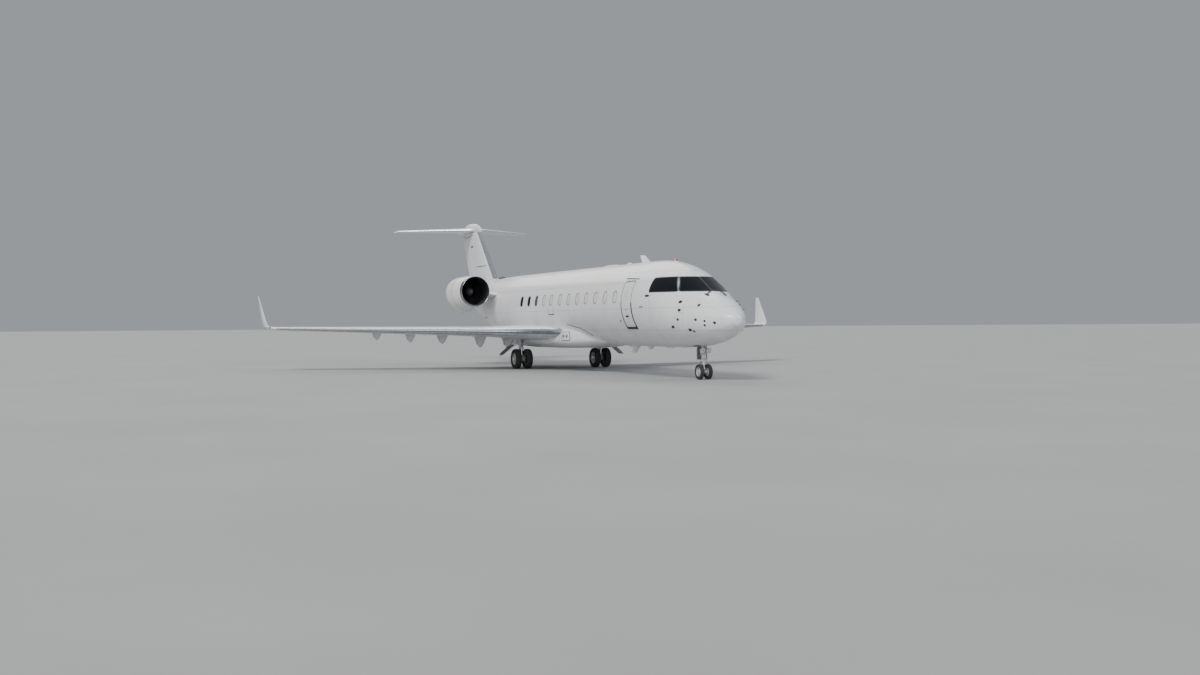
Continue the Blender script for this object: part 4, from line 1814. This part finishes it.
def add_cowl_fittings(word, side):
    """Seams, latches and drain mast of the cowl."""
    cowl = Parts(side)
    seams = [math.radians(degrees) for degrees in (-90, 97)]
    for s in (17.55, 18.1, 18.6, 19.05):
        for angle in seams:
            latch = block((-0.05, -0.012, -0.006), (0.05, 0.012, 0.004), 0.003)
            cowl.take(moved(latch, Matrix.Rotation(angle - math.pi / 2, 3, "X"), cowl_point(s, angle)), 1)
    for angle in seams:
        cowl.take(tube([cowl_point(s, angle, 0.0005) for s in spread(17.2, 19.3, 21)], 0.0045, 6))
    for s in (17.95, 19.0):
        ring = [cowl_point(s, turn) for turn in turns(72)]
        cowl.take(tube(ring + ring[:1], 0.0045, 6))
    mast = cowl_point(18.75, seams[0])
    bends = ((0, 0.01), (0.03, -0.05), (0.08, -0.07))
    cowl.take(tube([mast + Vector((-aft, 0, z)) for aft, z in bends], 0.011, 10), 1)
    cowl.add(f"cowl_seams_{word}", [SEAL, TRIM], sharp=30)


add_fin_fittings()
for word, side in SIDES.items():
    wicks = Parts(side)
    for y in (1.2, 1.9, 2.5):
        wicks.take(tail_foil.wick(y, 0.99, 0.11, 0.008))
    wicks.add(f"elevator_wicks_{word}", SEAL, f"elevator_{word}")
    add_cowl_fittings(word, side)


def add_wing_fittings(word, side):
    """Tank covers, fuel panels, jack pad, vent mast and the seams behind the leading edge."""
    under = Parts(side)
    for k in range(9):
        y = 3.55 + 0.7 * k
        under.take(wing_foil.skin(y, y + 0.42, 0.26, 0.335 + 0.006 * k, -1))
    for y in spread(3.7, 8.7, 5):
        under.take(wing_foil.skin(y, y + 0.3, 0.12, 0.19, -1))
    under.take(rod(at(13.3, 3.6, 1.195), at(13.3, 3.6, 1.29), 0.045, sides=32, bevel=0.002), 1)
    root = wing_foil.point(5.0, 0.5, -wing_foil.half(5.0, 0.5))
    bends = ((0, 0.02), (0, -0.05), (0.06, -0.08))
    under.take(tube([root + Vector((-aft, 0, z)) for aft, z in bends], 0.009), 1)
    for face in (1, -1):
        under.take(wing_foil.skin(3.3, 10.1, 0.052, 0.056, face, 0.0015, -0.003, 1), 2)
    under.add(f"wing_panels_{word}", [WING_PAINT, BARE_METAL, SEAL], sharp=30)


for word, side in SIDES.items():
    add_wing_fittings(word, side)
jack_pad = rod(at(3.3, 0, 0.905), at(3.3, 0, 1.0), 0.045, sides=32, bevel=0.002)
Parts().take(jack_pad).add("nose_jack_pad", BARE_METAL)


def add_main_bay(word, side):
    """Frames, stringers, hoses and an accumulator under the roof of the bay."""
    first, last, inner, outer, top = MAIN_BAY
    bay = Parts(side)
    for s in (13.14, 13.32, 13.66, 13.84):
        bay.take(block(at(s + 0.012, inner + 0.004, top - 0.07), at(s - 0.012, outer - 0.004, top - 0.004),
                       0.004))
    for y in (0.45, 0.8):
        bay.take(block(at(last - 0.006, y - 0.01, top - 0.045), at(first + 0.006, y + 0.01, top - 0.006),
                       0.003))
    for y, z in ((0.25, 1.2), (0.3, 1.2), (0.62, 1.215)):
        bay.take(hose([at(13.0, y, z), at(13.3, y + 0.02, z - 0.01), at(13.6, y, z),
                       at(13.97, y + 0.03, z - 0.02)],
                      0.01), 1)
    bay.take(rod(at(13.75, 0.24, 1.12), at(13.2, 0.24, 1.12), 0.045, sides=24, bevel=0.008), 2)
    bay.add(f"main_bay_fittings_{word}", [BAY_PRIMER, HOSE, GEAR_PAINT], sharp=30)


def add_nose_bay():
    first, last, right, left, top = NOSE_BAY
    bay = Parts()
    for s in (1.42, 1.7, 1.92, 2.25):
        bay.take(block(at(s + 0.01, right + 0.004, top - 0.05), at(s - 0.01, left - 0.004, top - 0.004), 0.003))
        for y in (right + 0.004, left - 0.03):
            bay.take(block(at(s + 0.01, y, 1.2), at(s - 0.01, y + 0.026, top - 0.004), 0.003))
    for y in (-0.2, 0.17, 0.2):
        bay.take(hose([at(1.25, y, 1.38), at(1.7, y * 1.05, 1.36), at(2.3, y, 1.37)], 0.008, 5), 1)
    bay.add("nose_bay_fittings", [BAY_PRIMER, HOSE], sharp=30)


for word, side in SIDES.items():
    add_main_bay(word, side)
add_nose_bay()

# Suns: place, strength, spread in degrees and colour
SUNS = {
    "key": ((30, -38, 48), 2.7, 22, (1.0, 0.97, 0.93)),
    "low": ((40, -34, 8), 0.8, 30, (0.95, 0.97, 1.0)),
    "fill": ((20, 40, 30), 1.0, 40, (0.9, 0.95, 1.0)),
    "rear": ((-40, 6, 30), 0.8, 40, (1.0, 0.95, 0.88))}
FLOOR_SIZE = 400


# Floor, light and world
def add_stage():
    work = bmesh.new()
    bmesh.ops.create_grid(work, x_segments=8, y_segments=8, size=FLOOR_SIZE)
    mesh = bpy.data.meshes.new("floor")
    work.to_mesh(mesh)
    work.free()
    made = Shader("floor_paint")
    light, dark = rgb((0.37, 0.375, 0.38)), rgb((0.34, 0.345, 0.35))
    patches = made.ramp(made.noise(0.25, 3), 0, 1, 0.3, 0.7)
    made.finish(Base_Color=made.blend(patches, light, dark), Roughness=0.85)
    mesh.materials.append(made.material)
    floor = bpy.data.objects.new("floor", mesh)
    bpy.context.scene.collection.objects.link(floor)
    world = bpy.data.worlds.new("studio")
    world.use_nodes = True
    background = world.node_tree.nodes["Background"]
    background.inputs["Color"].default_value = (0.80, 0.84, 0.90, 1)
    background.inputs["Strength"].default_value = 0.42
    bpy.context.scene.world = world
    for name, (place, strength, wide, color) in SUNS.items():
        data = bpy.data.lights.new(name, "SUN")
        data.energy = strength
        data.angle = math.radians(wide)
        data.color = color
        sun = bpy.data.objects.new(name, data)
        sun.location = place
        sun.rotation_mode = "QUATERNION"
        sun.rotation_quaternion = (-Vector(place)).to_track_quat("-Z", "Y")
        bpy.context.scene.collection.objects.link(sun)


add_stage()
